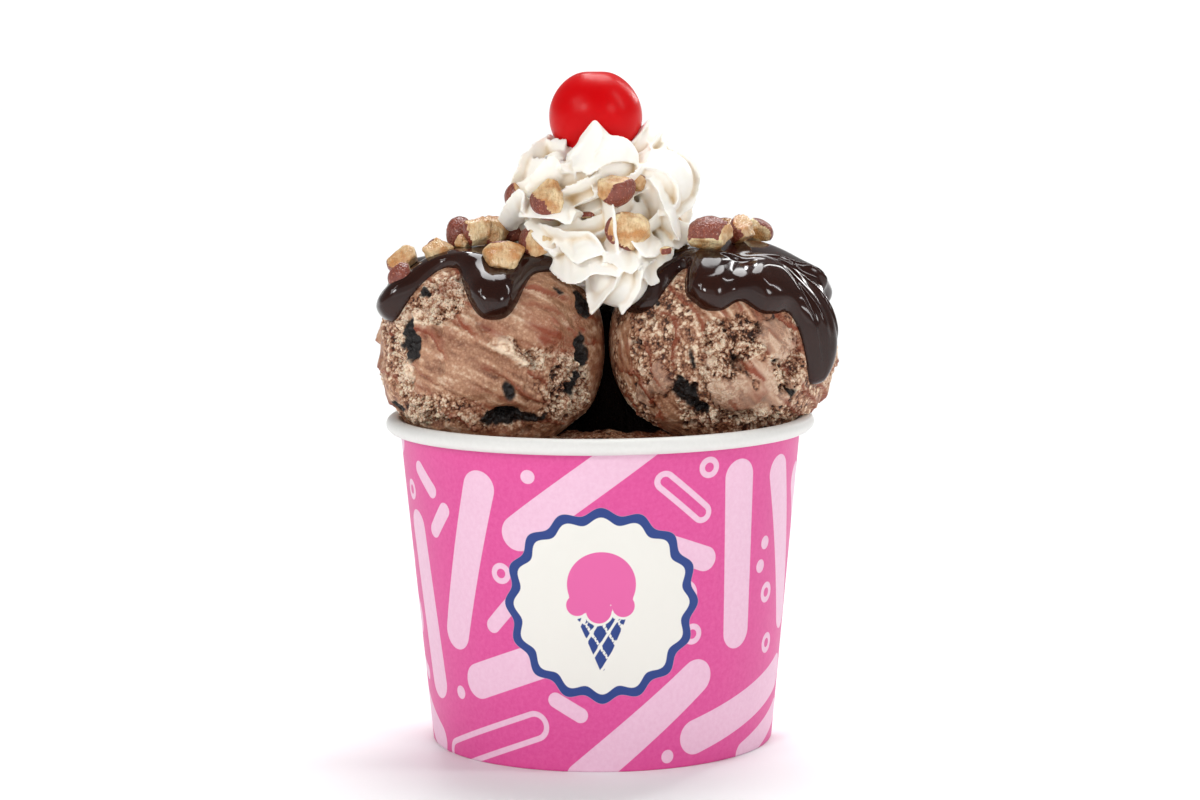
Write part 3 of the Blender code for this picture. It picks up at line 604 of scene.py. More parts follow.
# %% The torn, streaked and rippled surface of a scoop
GRAIN, CRUMB = 0.95, 2.4
GRAIN_HEIGHT, GRAIN_REACH, GRAIN_STEP = 0.30, 0.62, 0.22
SMEAR_LENGTH, SMEAR_WIDTH, SMEAR_HEIGHT = 9.0, 0.8, 0.13
SWELL_HEIGHT = 0.22
TERRACE, TERRACE_HEIGHT = 5.2, 1.3
SHELF_DEPTH, LUMP_RISE = 1.4, 1.1
PLATE_HEIGHT, PIT_DEPTH = 0.8, 1.6


def patch_mask(scoop, kind, direction, position, edge):
    """1 inside the patches of a kind and 0 outside, over an edge that noise tears."""
    torn = rough_noise(position, 3.2, scoop.seed + 20) * 1.1
    inside = np.full(len(direction), -9.0)
    for patch in scoop.patches.get(kind, ()):
        least = min(patch[2:4])
        ragged = (1 - patch_reach(scoop, direction, *patch)) * least + torn * min(1.0, least / 2.5)
        inside = np.maximum(inside, ragged)
    return np.clip(inside / edge, 0, 1)


def scoop_relief(scoop, direction, position, bare):
    """Height in millimetres on top of the ball, and the weights that its colours are mixed by."""
    tilt, grainy = np.radians(scoop.scrape[0]), scoop.scrape[1]
    course = np.array([[np.cos(tilt), 0, np.sin(tilt)], [-np.sin(tilt), 0, np.cos(tilt)], [0, 1, 0]])
    smeared = position @ course.T

    # What kind of surface is where
    torn = patch_mask(scoop, "torn", direction, position, 1.0)
    smooth = patch_mask(scoop, "smooth", direction, position, 1.5)
    cake_and_painted_shade = patch_mask(scoop, "cake_and_painted_shade", direction, position, 0.35)
    ripple = patch_mask(scoop, "ripple", direction, position, 2.6)
    field_noise = rough_noise(position, 11, scoop.seed + 30, 2)
    grain_mask = np.clip(2.2 * (grainy + 0.9 * field_noise) + 1.5 * torn - 2.2 * smooth, 0, 1)

    # Grains and crumbs: cells round seeds, pulled out of shape by the warp, with gaps between them
    warp = np.stack([smooth_noise(position, 1.8, scoop.seed + 50 + i) for i in range(3)], -1)
    nearest, _, tone = grains(position + 0.35 * warp, GRAIN, scoop.seed + 31)
    grain = GRAIN_HEIGHT * (1 - (nearest / GRAIN_REACH) ** 2) + GRAIN_STEP * tone
    far, next_far, crumb_tone = grains(position + 1.1 * warp, CRUMB, scoop.seed + 32)
    gaps = np.clip((next_far - far) / 0.3, 0, 1)
    chips = rough_noise(position, 1.5, scoop.seed + 54)
    # Broken plateaus: noise cut off steeply at one level, so that it steps down
    shelf = np.clip(rough_noise(position, 5.5, scoop.seed + 55) / 0.1 + 2.8, 0, 1)
    lump = np.clip(rough_noise(position, 3.2, scoop.seed + 56) / 0.12 + 0.3, 0, 1)
    crumb = 0.4 * (crumb_tone + gaps - 1 + chips) + SHELF_DEPTH * (shelf - 1) + LUMP_RISE * lump

    # Scraped places: long thin noise along the scraper's course, and ledges like a saw's teeth
    line = smooth_noise(smeared / [SMEAR_LENGTH, SMEAR_WIDTH, SMEAR_WIDTH * 1.6], 1, scoop.seed + 33)
    swell = SWELL_HEIGHT * smooth_noise(smeared / [16, 3.2, 4.0], 1, scoop.seed + 34)
    rise = 0.9 * smooth_noise(position, 12, scoop.seed + 35) - smeared[:, 1] / TERRACE + 0.08 * chips
    step = rise % 1
    ledge = np.clip(smooth_noise(position, 8, scoop.seed + 36) * 2.5 + 0.8, 0, 1)
    terrace = TERRACE_HEIGHT * (step - np.clip((step - 0.9) / 0.1, 0, 1)) * ledge

    height = (1 - grain_mask) * (SMEAR_HEIGHT * line + swell) + terrace * (1 - 0.6 * grain_mask) - 0.3
    height += grain_mask * grain + torn * crumb
    # Shavings that lie flat over all that, each with a brink round it, where a shadow is painted
    plate, brink_painted_shadow = np.zeros((2, len(direction)))
    for patch in scoop.patches.get("plate", ()):
        ragged = (1 - patch_reach(scoop, direction, *patch)) * min(patch[2:4])
        ragged += 1.9 * rough_noise(position, 2.6, scoop.seed + 40)
        inside = np.clip(ragged / 0.2, 0, 1)
        slab = PLATE_HEIGHT + 0.6 * smooth_noise(position, 5.0, scoop.seed + 45) + 0.12 * line + 0.06 * chips
        height = height * (1 - inside) + inside * slab
        plate = np.maximum(plate, inside)
        brink_painted_shadow = np.maximum(brink_painted_shadow, np.clip(1 - np.abs(ragged + 0.3) / 0.35, 0, 1))
    # Air holes, darkened with painted shade through the cake weight, and soft cake
    pits = np.clip((rough_noise(position, 4.5, scoop.seed + 41, 2) - 0.64) * 5, 0, 1) * (0.4 + grain_mask)
    height -= PIT_DEPTH * pits * (1 - plate)
    cake_nearest, _, cake_tone = grains(position, 1.1, scoop.seed + 42)
    cake_and_painted_shade *= 1 - plate
    height += cake_and_painted_shade * (0.35 * cake_tone - 0.9 * cake_nearest + 0.1)

    # Colours: painted shade darkens the gaps between grains and crumbs, the sunken shelves, and a ring round
    # each shaving; raised lumps are painted lighter, and the ripple of fudge stains patches, ledges and threads
    sunken_painted_shade = torn * (0.5 * (1 - gaps) + 1.1 * (1 - shelf) * (1 - 0.7 * lump))
    painted_shade = np.clip(sunken_painted_shade + 0.5 * (nearest - 0.55) * grain_mask, 0, 1)
    edge_stain = np.clip((step - 0.72) / 0.2, 0, 1) * ledge * (1 - torn)
    stain = ripple * (0.5 + 0.9 * line + 0.6 * field_noise) * (1 - 0.35 * torn) + 0.9 * edge_stain
    threads = np.clip(rough_noise(smeared / [9, 2.0, 3.0], 1, scoop.seed + 43) - 0.2, 0, 1)
    stain = np.clip(stain + 0.8 * threads * (1 - 0.7 * grain_mask), 0, 1)
    light = 0.54 + (0.5 * tone - 0.6 * nearest + 0.34) * grain_mask
    light += (0.25 * crumb_tone + 0.25 * lump + 0.5) * torn + 0.3 * line * plate
    light += 0.35 * line * (1 - grain_mask) - 0.7 * painted_shade - 0.7 * brink_painted_shadow * (1 - plate)
    # The tone weight carries the painted shade and the lumps painted lighter, and the cake weight carries
    # painted shade in the pits
    weights = {
        "grainy": np.clip((0.2 + grain_mask * (0.4 + 0.5 * torn)) * (1 - 0.5 * plate), 0, 1),
        "stain": stain * (1 - cake_and_painted_shade),
        "cake_and_painted_shade": np.clip(cake_and_painted_shade + 0.4 * pits * (1 - plate), 0, 1),
        "tone": np.clip(light, 0, 1),
        "plate": plate,
    }
    return height * bare * open_side(scoop, direction), weights


# %% Build the scoops
SCOOP_STEPS = 540
FINE_RINGS = np.radians(np.arange(42, 136, 0.66))
TOP_RINGS, LOW_RINGS = np.radians([6, 14, 22, 30, 36]), np.radians([139, 144, 150, 158, 166, 173])
POLAR_RINGS = np.concatenate([TOP_RINGS, FINE_RINGS, LOW_RINGS])


def scoop_shell(scoop):
    direction = ball_grid(POLAR_RINGS, SCOOP_STEPS)
    inset = inset_from_edge(scoop, direction)
    ball = ball_radius(scoop, direction, inset)
    centre = middle_of(scoop)
    bare = np.clip((-inset - 0.2) / 1.6, 0, 1)
    relief, weights = scoop_relief(scoop, direction, centre + direction * ball[:, None], bare)
    radius = stop_at_paper(centre, direction, ball + relief)
    return closed_ball(centre + direction * radius[:, None], SCOOP_STEPS), weights


# %% [markdown]
# ### Ice cream
#
# Chocolate ice cream is frozen foam: it scatters light just under the surface and has a dull, wet
# gloss. Its tan is broken by reddish fudge ripple and by nearly black cake, and shade in gaps, pits
# and recesses is painted into it too, as are small glints of ice. The grains are half a millimetre
# across. They are drawn in the material where the mesh can't carry them.

# %% Ice cream material
FINE_SCALE, BROAD_SCALE, SAND_SCALE = 1100.0, 190.0, 1700.0
ice_cream, tree, place = new_material("chocolate_ice_cream")
grainy, stain, cake_and_painted_shade, tone, plate = (
    add(tree, "Attribute", attribute_name=name) for name in ("grainy", "stain", "cake_and_painted_shade", "tone", "plate")
)
# Scales are cells for each metre: fine noise of 0.9 mm, clouds of 5 mm, and sand of 0.6 mm
fine = add(tree, "TexNoise", place, Scale=FINE_SCALE, Detail=4.0, Roughness=0.65)
broad = add(tree, "TexNoise", place, Scale=BROAD_SCALE, Detail=3.0, Roughness=0.6)
speck = add(tree, "TexVoronoi", place, Scale=SAND_SCALE)
own_shade = add(tree, "SeparateColor", speck.outputs["Color"])
# Each cell of sand has its own tone, and its edges are painted darker, as shade between the grains
sand_with_painted_shade = add(tree, "Math", add(tree, "MapRange", own_shade, 0.0, 1.0, -0.26, 0.40),
           add(tree, "MapRange", speck, 0.42, 0.65, 0.0, -0.38), operation="ADD")
# The mesh's own tone with its painted shade and light, plus the two noises, plus the sand with its painted
# shade where it is grainy, picks the brown
light = add(tree, "Math", fine, 0.5, tone, operation="MULTIPLY_ADD")
light = add(tree, "Math", broad, 0.35, light, operation="MULTIPLY_ADD")
light = add(tree, "Math", sand_with_painted_shade, grainy, light, operation="MULTIPLY_ADD")
tan = add(tree, "ValToRGB", add(tree, "MapRange", light, 0.38, 1.46))
set_stops(tan, ((0.0, "#2E160C"), (0.27, "#85543A"), (0.58, "#B8896A"), (1.0, "#F4DDC2")))
# Painted glints of ice: a pale colour in the middle of the lightest cells
painted_ice_glint = add(tree, "Math", add(tree, "MapRange", speck, 0.30, 0.16), grainy, operation="MULTIPLY")
painted_ice_glint = add(tree, "Math", painted_ice_glint, own_shade, operation="MULTIPLY")
scraped = add(tree, "Math", plate, 0.6, operation="MULTIPLY")
# The nearly black paint is cake and painted shade
colour = tan
for share, paint in ((painted_ice_glint, "#F4E2CC"), (scraped, "#B8937C"), (stain, "#8A4025"), (cake_and_painted_shade, "#150E0C")):
    colour = add(tree, "Mix", share, colour, paint)
# Each cell of sand is a small bump
sandy = add(tree, "Math", speck, grainy, operation="MULTIPLY")
bumps = add(tree, "Math", sandy, -1.2, fine, operation="MULTIPLY_ADD")
finish_material(
    tree, Base_Color=colour, Roughness=add(tree, "MapRange", fine, 0.3, 0.7, 0.32, 0.6),
    Normal=add(tree, "Bump", Height=bumps, Distance=0.0004, Strength=1.0), Specular_IOR_Level=0.45,
    Subsurface_Weight=0.12, Subsurface_Radius=(1.0, 0.5, 0.3), Subsurface_Scale=0.0012,
)

for scoop in SCOOPS:
    shell, weights = scoop_shell(scoop)
    add_piece(f"ice_cream_{scoop.side}", shell, ice_cream, [f"scoop_{scoop.side}"], weights)

# %% [markdown]
# ## The packed ice cream
#
# Under the scoops the cup is packed to a little below its rim. Only a lumpy strip of it shows
# between the scoops, where some is squeezed up, and it is painted nearly black there as painted
# shade. A height over each spot of a round grid is enough for it: the level, or the squeezed ridge,
# and never higher than the hollow under a scoop.

# %% Build the packed ice cream
FILL_EDGE_Z, FILL_MIDDLE_Z, BASE_TOP = 65.6, 68.8, 6.1
RIDGE_MIDDLE = np.array([1.6, 10.0, 75.0]) + CUP_AXIS
RIDGE_HALF = np.array([14.0, 11.0, 21.0])
FILL_STEPS, FILL_RINGS = 300, 80


def scoop_underside(scoop, points):
    """Height of a scoop's lower face over each point, and a large number beside the scoop."""
    offset = (points - middle_of(scoop)) / scoop.half_sizes
    share = np.hypot(offset[:, 0], offset[:, 1]) ** scoop.shoulder
    drop = scoop.half_sizes[2] * np.clip(1 - share, 0, 1) ** (1 / scoop.shoulder)
    return np.where(share < 1, scoop.centre[2] - drop - CLEARANCE, 999.0)


edge_radius = wall_outside(FILL_EDGE_Z) - PAPER - CLEARANCE
radii = edge_radius * np.linspace(1, 0.012, FILL_RINGS)[:, None]
turn = np.linspace(-np.pi, np.pi, FILL_STEPS, endpoint=False)
top = about_axis(radii, turn, 0.0).reshape(-1, 3)
reach = np.hypot(top[:, 0] - CUP_AXIS_X, top[:, 1]) / edge_radius
# The level rises to the middle, and is lumpy except at the wall
lumps = 0.8 * rough_noise(top, 5.0, 51) + 0.5 * (0.5 - grains(top, 1.9, 52)[0])
level = FILL_EDGE_Z + (FILL_MIDDLE_Z - FILL_EDGE_Z) * (1 - reach**2) + lumps * np.clip((1 - reach) * 12, 0, 1)
# The ridge is the upper half of an oval, sqrt(1 - x ** 2 - y ** 2)
offset = (top - RIDGE_MIDDLE) / RIDGE_HALF
ridge_share = np.clip(1 - offset[:, 0] ** 2 - offset[:, 1] ** 2, 0, 1)
ridge = RIDGE_MIDDLE[2] + RIDGE_HALF[2] * np.sqrt(ridge_share) + rough_noise(top, 4.0, 53)
level = np.where(ridge_share > 0, np.maximum(level, ridge), level)
for scoop in SCOOPS:
    level = np.minimum(level, scoop_underside(scoop, top))
top[:, 2] = level
rows = top.reshape(FILL_RINGS, FILL_STEPS, 3)
side_heights = np.linspace(BASE_TOP + CLEARANCE, FILL_EDGE_Z - 1.0, 6)[:, None]
side = about_axis(wall_outside(side_heights) - PAPER - CLEARANCE, turn, side_heights)
rows = np.concatenate([side, rows])
shell = closed_shell(rows, CUP_AXIS + (0, 0, side_heights[0, 0]), rows[-1].mean(0))
points = shell[0]
# Painted shade: the front of the ridge, which is all that shows between the scoops, is painted nearly black as
# lumpy cake
beside = (points - RIDGE_MIDDLE) / RIDGE_HALF
crumbly = rough_noise(points, 9.0, 55)
ridge_front = np.clip((1.45 + 0.12 * crumbly - np.hypot(beside[:, 0], beside[:, 1])) / 0.1, 0, 1)
painted_gap_shade = np.clip(1.6 * ridge_front * np.clip((16 - points[:, 1]) / 6, 0, 1) + 0.5 * crumbly - 0.05, 0, 1)
weights = {
    "grainy": np.full(len(points), 0.7),
    "stain": np.clip(0.2 + 0.5 * rough_noise(points, 9.0, 56), 0, 1),
    "cake_and_painted_shade": painted_gap_shade,
    "tone": np.clip(0.45 + 0.3 * grains(points, GRAIN, 54)[2], 0, 1),
    "plate": np.zeros(len(points)),
}
# A shaded copy of the same ice cream, for the strip between the scoops: gloss and the light through it are
# taken out, as painted shade
shaded = ice_cream.copy()
shaded.name = "chocolate_ice_cream_shaded_copy"
finish_material(shaded.node_tree, Specular_IOR_Level=0.05, Subsurface_Weight=0.0)
add_piece("ice_cream_packed", shell, shaded, ["packed_ice_cream"], weights)

# %% [markdown]
# ## Fudge sauce
#
# Warm fudge runs until the cold thickens it, so it ends in a round lip with a bead behind it, and
# hangs in tongues. The sauce is a loft: an inner face just inside the ice cream, and an outer face
# that stands off it by the sauce's depth. Its azimuths step evenly along the edge, so that steep
# drips get the points they need. Pools and folds are oval patches of more depth.

# %% Build the sauce
SAUCE_STEPS = 520
SAUCE_RINGS = 110
SAUCE_INNER_RINGS = 14
SAUCE_RING_EASE = 1.7
SAUCE_SINK = 0.25
SAUCE_LEAST = 0.45


def sauce_depth(scoop, direction, inset):
    """A lip sqrt(1 - (1 - inset / lip) ** 2), a bead behind it, and a smooth dome for each pool."""
    lip = np.sqrt(1 - (1 - np.clip(inset / SAUCE_LIP, 0, 1)) ** 2)
    bead = (SAUCE_BEAD - SAUCE_THIN) * np.exp(-(((inset - SAUCE_BEAD_INSET) / SAUCE_BEAD_INSET) ** 2))
    pools = np.zeros(len(direction))
    for *patch, height in scoop.pools:
        pools += height * np.exp(-(patch_reach(scoop, direction, *patch) ** 3))
    return lip * np.maximum(SAUCE_THIN + bead + pools, SAUCE_LEAST)


def sauce_shell(scoop):
    samples = np.linspace(-np.pi, np.pi, EDGE_SAMPLES + 1)
    rim = direction_of(samples, sauce_edge(scoop, samples))
    length = np.concatenate([[0], np.cumsum(np.linalg.norm(np.diff(rim, axis=0), axis=1))])
    azimuth = np.interp(np.linspace(0, length[-1], SAUCE_STEPS + 1)[:-1], length, samples)
    edge = sauce_edge(scoop, azimuth)
    outer = 1 - (1 - np.arange(1, SAUCE_RINGS + 1) / SAUCE_RINGS) ** SAUCE_RING_EASE
    inner = np.arange(SAUCE_INNER_RINGS - 1, 0, -1) / SAUCE_INNER_RINGS
    share = np.concatenate([outer, inner])
    direction = direction_of(azimuth[None], edge[None] * share[:, None]).reshape(-1, 3)
    direction = np.vstack([direction, [[0, 0, 1], [0, 0, 1]]])
    inset = inset_from_edge(scoop, direction)
    outside = np.append(np.repeat(np.arange(len(share)) < SAUCE_RINGS, SAUCE_STEPS), [True, False])
    depth = sauce_depth(scoop, direction, inset)
    flow = 0.12 * smooth_noise(direction * scoop.half_sizes[0], 6.0, scoop.seed + 60)
    lift = np.where(outside, depth * (1 + flow), -0.15)
    radius = ball_radius(scoop, direction, inset) - SAUCE_SINK + lift
    centre = middle_of(scoop)
    radius = stop_at_paper(centre, direction, radius)
    return closed_ball(centre + direction * radius[:, None], SAUCE_STEPS)


# %% Fudge material
# Cooked sugar, cocoa and butter: nearly black, with a mirror like skin and a brown glow at thin edges.
fudge, tree, place = new_material("fudge_sauce")
cloud = add(tree, "TexNoise", place, Scale=130.0)
swirl = add(tree, "TexNoise", place, Scale=260.0)
finish_material(
    tree, Base_Color=add(tree, "Mix", cloud, "#1C0D0A", "#341810"), Roughness=0.12,
    Normal=add(tree, "Bump", Height=swirl, Distance=0.0002, Strength=0.25), Specular_IOR_Level=0.3,
    Coat_Weight=0.15, Coat_Roughness=0.02,
    Subsurface_Weight=0.05, Subsurface_Radius=(1.0, 0.35, 0.2), Subsurface_Scale=0.0008,
)

for scoop in SCOOPS:
    add_piece(f"fudge_sauce_{scoop.side}", sauce_shell(scoop), fudge, [f"fudge_{scoop.side}"])

# %% [markdown]
# ## Whipped cream
#
# Cream leaves a star shaped nozzle as a rope with sharp ridges, and is laid on a rising, turning
# spiral that ends in a drawn up peak. Each ring of the grid is one star section. Its radius dips
# as |sin| between the ridges, which leaves the ridges sharp and the valleys round, and the tips
# lean over like the lip of a wave. At the front the cream was laid in loose ruffles, so blades with
# thin lips stand there on a slimmer rope. All of it overlaps, and a voxel remesh makes it one skin.

# %% Rope of cream
CREAM_LOBES = 6
CREAM_TWIST = 1.35
CREAM_VALLEY = 0.55
CREAM_LEAN = 0.34
CREAM_SADDLE, CREAM_SETTLED = 6.0, 1.2
CREAM_SLIM = 0.34
ROPE_STEPS = 168
RINGS_PER_TURN = 110
CREAM_VOXEL = 0.32
CREAM_TRIANGLES = 190_000
# turn, radius of the spiral, height, radius of the rope
CREAM_COURSE = np.array([
    (-0.10, 7.5, 103.0, 6.5), (0.10, 9.5, 103.0, 8.6), (0.50, 11.5, 105.5, 9.4), (1.00, 12.3, 112.5, 9.3),
    (1.50, 12.8, 118.5, 9.2), (2.00, 11.0, 124.0, 8.2), (2.50, 9.0, 129.0, 6.8), (2.85, 8.0, 130.0, 4.6),
])
# height, how far in front of the axis, radius
CREAM_PEAK = np.array([
    (122.5, 6.5, 6.2), (128.0, 8.6, 7.0), (131.5, 9.8, 5.2), (134.5, 10.2, 3.1), (136.8, 10.0, 1.3),
    (137.8, 9.8, 0.4),
])
PEAK_TURN, PEAK_X, PEAK_RINGS = 0.35, -0.6, 70
CORE = ((0, 0, 113), (13, 13, 16))


def star(phase, valley, seed, along):
    """Radius 1 - valley * |sin(n a / 2)| ** 0.8, and its angle, which leans forward towards each tip.

    Noise along the rope makes each ridge swell and thin, so that its lip waves.
    """
    around = np.linspace(0, 2 * np.pi, ROPE_STEPS, endpoint=False) + 0 * along
    dip = np.abs(np.sin(CREAM_LOBES * around / 2)) ** 0.8
    lobe = np.round(CREAM_LOBES * around / (2 * np.pi)) % CREAM_LOBES
    wander = np.stack([along + 0 * around, 7.3 * lobe, 0 * around], -1)
    wave = smooth_noise(wander.reshape(-1, 3), 1.0, seed).reshape(dip.shape)
    radius = 1 - valley * dip + 0.16 * wave * (1 - dip) ** 2
    angle = around + phase + CREAM_LEAN * (1 + wave) * (1 - dip) ** 2
    return radius, angle


def course_at(turn):
    """Spiral radius, height, rope radius and angle at each turn.

    The first turn sags at its sides, and the rope is slimmer at the front, under the ruffles.
    """
    spiral, height, rope = (np.interp(turn, CREAM_COURSE[:, 0], CREAM_COURSE[:, i]) for i in (1, 2, 3))
    angle = 2 * np.pi * turn - np.pi / 2
    settle = np.clip(CREAM_SETTLED - turn, 0, 1)
    front = np.clip(-np.sin(angle), 0, 1)
    return spiral, height + CREAM_SADDLE * settle * np.cos(angle) ** 2, rope * (1 - CREAM_SLIM * front), angle


def rope_shell(first, last):
    turn = np.linspace(first, last, int(RINGS_PER_TURN * (last - first)))[:, None]
    spiral, height, rope, angle = course_at(turn)
    wander = 0.5 * smooth_noise(np.stack([turn[:, 0] * 4, 0 * turn[:, 0], 0 * turn[:, 0]], -1), 1, 70)[:, None]
    radius, phase = star(2 * np.pi * CREAM_TWIST * turn + wander, CREAM_VALLEY, 71, turn * 6)
    out = spiral + rope * radius * np.cos(phase)
    rows = about_axis(out, angle, height + rope * radius * np.sin(phase))
    return closed_shell(rows, rows[0].mean(0), rows[-1].mean(0))


def peak_shell():
    height = np.linspace(CREAM_PEAK[0, 0], CREAM_PEAK[-1, 0], PEAK_RINGS)[:, None]
    forward, rope = (np.interp(height, CREAM_PEAK[:, 0], CREAM_PEAK[:, i]) for i in (1, 2))
    lift = (height - height[0]) / (height[-1] - height[0])
    radius, phase = star(2 * np.pi * PEAK_TURN * lift, CREAM_VALLEY / 5, 72, lift * 3)
    x = CUP_AXIS_X + PEAK_X + rope * radius * np.cos(phase)
    rows = np.stack([x, rope * radius * np.sin(phase) - forward, height + 0 * x], -1)
    return closed_shell(rows, rows[0].mean(0), rows[-1].mean(0))


def oval(half_sizes):
    """The radius of an oval in a direction: 1 / |direction / half sizes|."""
    return lambda direction: 1 / np.linalg.norm(direction / half_sizes, axis=1)


def ball_shell(centre, radius_of, rings=40, steps=80):
    """A ball that is radius_of(direction) in radius."""
    direction = ball_grid(np.linspace(0, np.pi, rings + 2)[1:-1], steps)
    return closed_ball(centre + direction * radius_of(direction)[:, None], steps)


# %% Ruffles: blades with a thin lip
# From the crest to the root, the root's width, how far the blade bows sideways, and the crest's
# points about the cup's axis
RUFFLES = (
    ((0, 7, 3), 6, 1.2, ((-6.2, -11.5, 130.4), (-4.6, -14.5, 127.5), (-2.5, -16.5, 126), (-0.3, -16.8, 126.8),
        (1.9, -16, 128.5), (5.1, -14, 129), (8.3, -11.5, 127.9))),
    ((3, 6, -4), 3.6, -1.2, ((-16.1, -12, 123.3), (-14.9, -14.5, 126), (-12.9, -16, 129),
        (-10.4, -16.5, 130.8), (-8.7, -16.5, 130), (-8.2, -16, 127.6))),
    ((3, 6, -4), 3.4, -1.2, ((-22.2, -6, 116.3), (-20.6, -10, 119.8), (-18.8, -12.5, 122.4),
        (-16.6, -14.5, 123.7), (-15.7, -15.5, 122.3), (-16.7, -16, 118.5))),
    ((6, 6, -3), 5, 0.5, ((-19.7, -3, 122.9), (-18.5, -4, 126.2), (-16.8, -4, 130), (-14.1, -3, 133),
        (-10.9, 0, 134.4))),
    ((1, 9, 2), 6.5, -1.4, ((-1.6, -16, 123), (0.9, -18, 123.1), (3.1, -19.5, 120.8), (3.8, -20.3, 117),
        (3.6, -21, 113.6), (4.6, -21.5, 109.6))),
    ((-2, 9, 2), 6.5, 1, ((11.1, -14.5, 125.2), (12.9, -16.5, 122.4), (14.2, -17.5, 118.7), (15.6, -17, 114.9),
        (17.4, -14, 111.5))),
    ((0, 9, 2), 5, 1, ((6.8, -20, 112), (8.4, -21, 110.1), (10, -21, 108.5), (12.2, -20, 108.5),
        (14.1, -18.5, 109.9))),
    ((0, 8, 3), 6.5, 1.2, ((-9.9, -15, 111.7), (-7.4, -19, 109.1), (-4.8, -21.5, 107), (-2, -22, 108.2),
        (0.7, -22.2, 109.5))),
    ((0, 8, -2), 4.5, -0.8, ((-13.1, -13, 116.1), (-9.9, -16, 115), (-7, -18.5, 114.2), (-3.9, -19.5, 114.8),
        (-0.7, -20.2, 113.6), (1.2, -22, 110.2))),
    ((2, 10, 5), 7.5, 1.2, ((-12.9, -10, 108.4), (-9.3, -17, 103.9), (-6.1, -20.5, 102.4), (-3.3, -22, 103.2),
        (-1.4, -22.5, 105.2), (1.4, -23, 105), (4.4, -23.2, 104.3))),
    ((0, 8, 6), 7, 0.8, ((4.4, -23.2, 105.3), (3, -22.8, 101.8), (0.8, -21.5, 99.2), (-1.8, -19, 96.2))),
    ((0, 8, 6), 7, -0.8, ((9.3, -22.5, 105.2), (8.8, -22, 101.7), (7.5, -21, 99.1), (4.9, -18.8, 96))),
    ((0, 9, 4), 5.5, 0.8, ((0.5, -22, 108), (3.3, -23, 107.2), (6.1, -23.4, 105.1), (7.7, -23.2, 105.1),
        (9.1, -22.5, 107.1))),
    ((-2, 9, 6), 6.5, 1, ((8.4, -20.5, 110.4), (9.2, -20.5, 106.3), (10.7, -19, 102), (12.8, -17.5, 102.6),
        (15.3, -15, 105.5), (16.4, -12, 109.1))),
    ((1, 9, 2), 5.5, 1, ((-17.5, -14, 117.1), (-14, -17.5, 116.8), (-10.1, -19, 117), (-6.2, -19.5, 115.3),
        (-5.1, -18.5, 118.2))),
    ((3, 9, 4), 6, 1, ((-16.3, -14, 115.5), (-14, -15, 112.4), (-11.8, -15.5, 109.9), (-9.6, -15.5, 107.9))),
    ((-9, 5, -3), 7, 0.6, ((15, -1, 131.6), (18.7, -2, 130.7), (21.6, -3, 128.1), (22.8, -4, 124.9),
        (22.5, -5, 122.4), (20.8, -6, 119.9))),
    ((-3, 7, -2), 6, 0.8, ((8.6, -11.5, 127.6), (11.8, -13, 127.8), (14.9, -13.5, 126.7), (17.3, -13.5, 123.8),
        (17.8, -13, 120.6), (16.2, -13.5, 118.9))),
    ((-4, 8, 2), 5, 0.8, ((13.9, -15, 117.3), (17.4, -12.5, 116.5), (20.4, -9, 118.2), (21.5, -6, 120.2))),
    ((-5, 7, 3), 5, 0.8, ((14.5, -15, 110.6), (17.7, -12, 109.4), (20.1, -9, 111.1), (21.1, -6, 113.2))),
    ((-2, 4, -5), 3.5, 0.4, ((6.1, -5, 131.5), (8.7, -3, 134), (11, -1, 136.5), (11.7, 0, 137.7))),
    ((-3, 5, -5), 3.5, 0.4, ((8.4, -6, 129.9), (11.3, -5, 131.8), (13.6, -3, 134.3), (14.6, -1, 135.2))),
    ((-4, 5, -4), 3.5, 0.4, ((9.6, -7, 129), (12.5, -6, 130.5), (15.1, -4, 131.7), (15.7, -2, 133.3))),
)
# centre about the cup's axis, and half sizes
FOLDS = (
    ((13.4, -4.6, 124.2), (7.4, 8.2, 7)), ((10, 3, 130), (6, 6.5, 6)), ((4.5, -15, 103.5), (6.5, 5.5, 6)),
)
BLADE_STEPS, BLADE_RISE, BLADE_LIP, BLADE_WAVE = 56, 14, 0.33, 0.3


def smooth_line(corners, steps):
    """Evenly spaced points along a line through the corners, rounded by averages with their neighbours."""
    corners = np.array(corners, float)
    along = np.concatenate([[0], np.cumsum(np.linalg.norm(np.diff(corners, axis=0), axis=1))])
    even = np.linspace(0, along[-1], steps)
    line = np.stack([np.interp(even, along, corners[:, i]) for i in range(3)], -1)
    for _ in range(12):
        line[1:-1] = 0.5 * line[1:-1] + 0.25 * (line[:-2] + line[2:])
    return line


def blade_shell(inward, width, bow, corners, seed):
    """A wedge along a line, of half width w / 2 * (1 - s) ** 1.5 plus a lip.

    s is 0 at the root and 1 at the crest. Towards both ends the root comes up to the crest, so that
    the blade ends in a point.
    """
    crest = smooth_line(corners, BLADE_STEPS) + CUP_AXIS
    crest = crest + BLADE_WAVE * np.stack([smooth_noise(crest, 2.2, seed + i) for i in range(3)], -1)
    share = np.linspace(-1, 1, BLADE_STEPS)
    fade = (0.12 + 0.88 * (1 - np.abs(share) ** 3) ** 0.6)[:, None]
    side = np.cross(np.gradient(crest, axis=0), inward)
    side /= np.linalg.norm(side, axis=1)[:, None]
    rise = np.linspace(0, 0.995, BLADE_RISE)
    rise = np.concatenate([rise, rise[::-1]])
    flank = np.repeat((1.0, -1.0), BLADE_RISE)
    half = fade * width / 2 * (1 - rise) ** 1.5 + BLADE_LIP * np.sqrt(1 - rise**6)
    offset = flank * half + fade * bow * np.sin(np.pi * rise)
    depth = fade * (1 - rise)
    rows = crest[:, None] + depth[..., None] * np.array(inward, float) + offset[..., None] * side[:, None]
    return closed_shell(rows, rows[0].mean(0), rows[-1].mean(0))


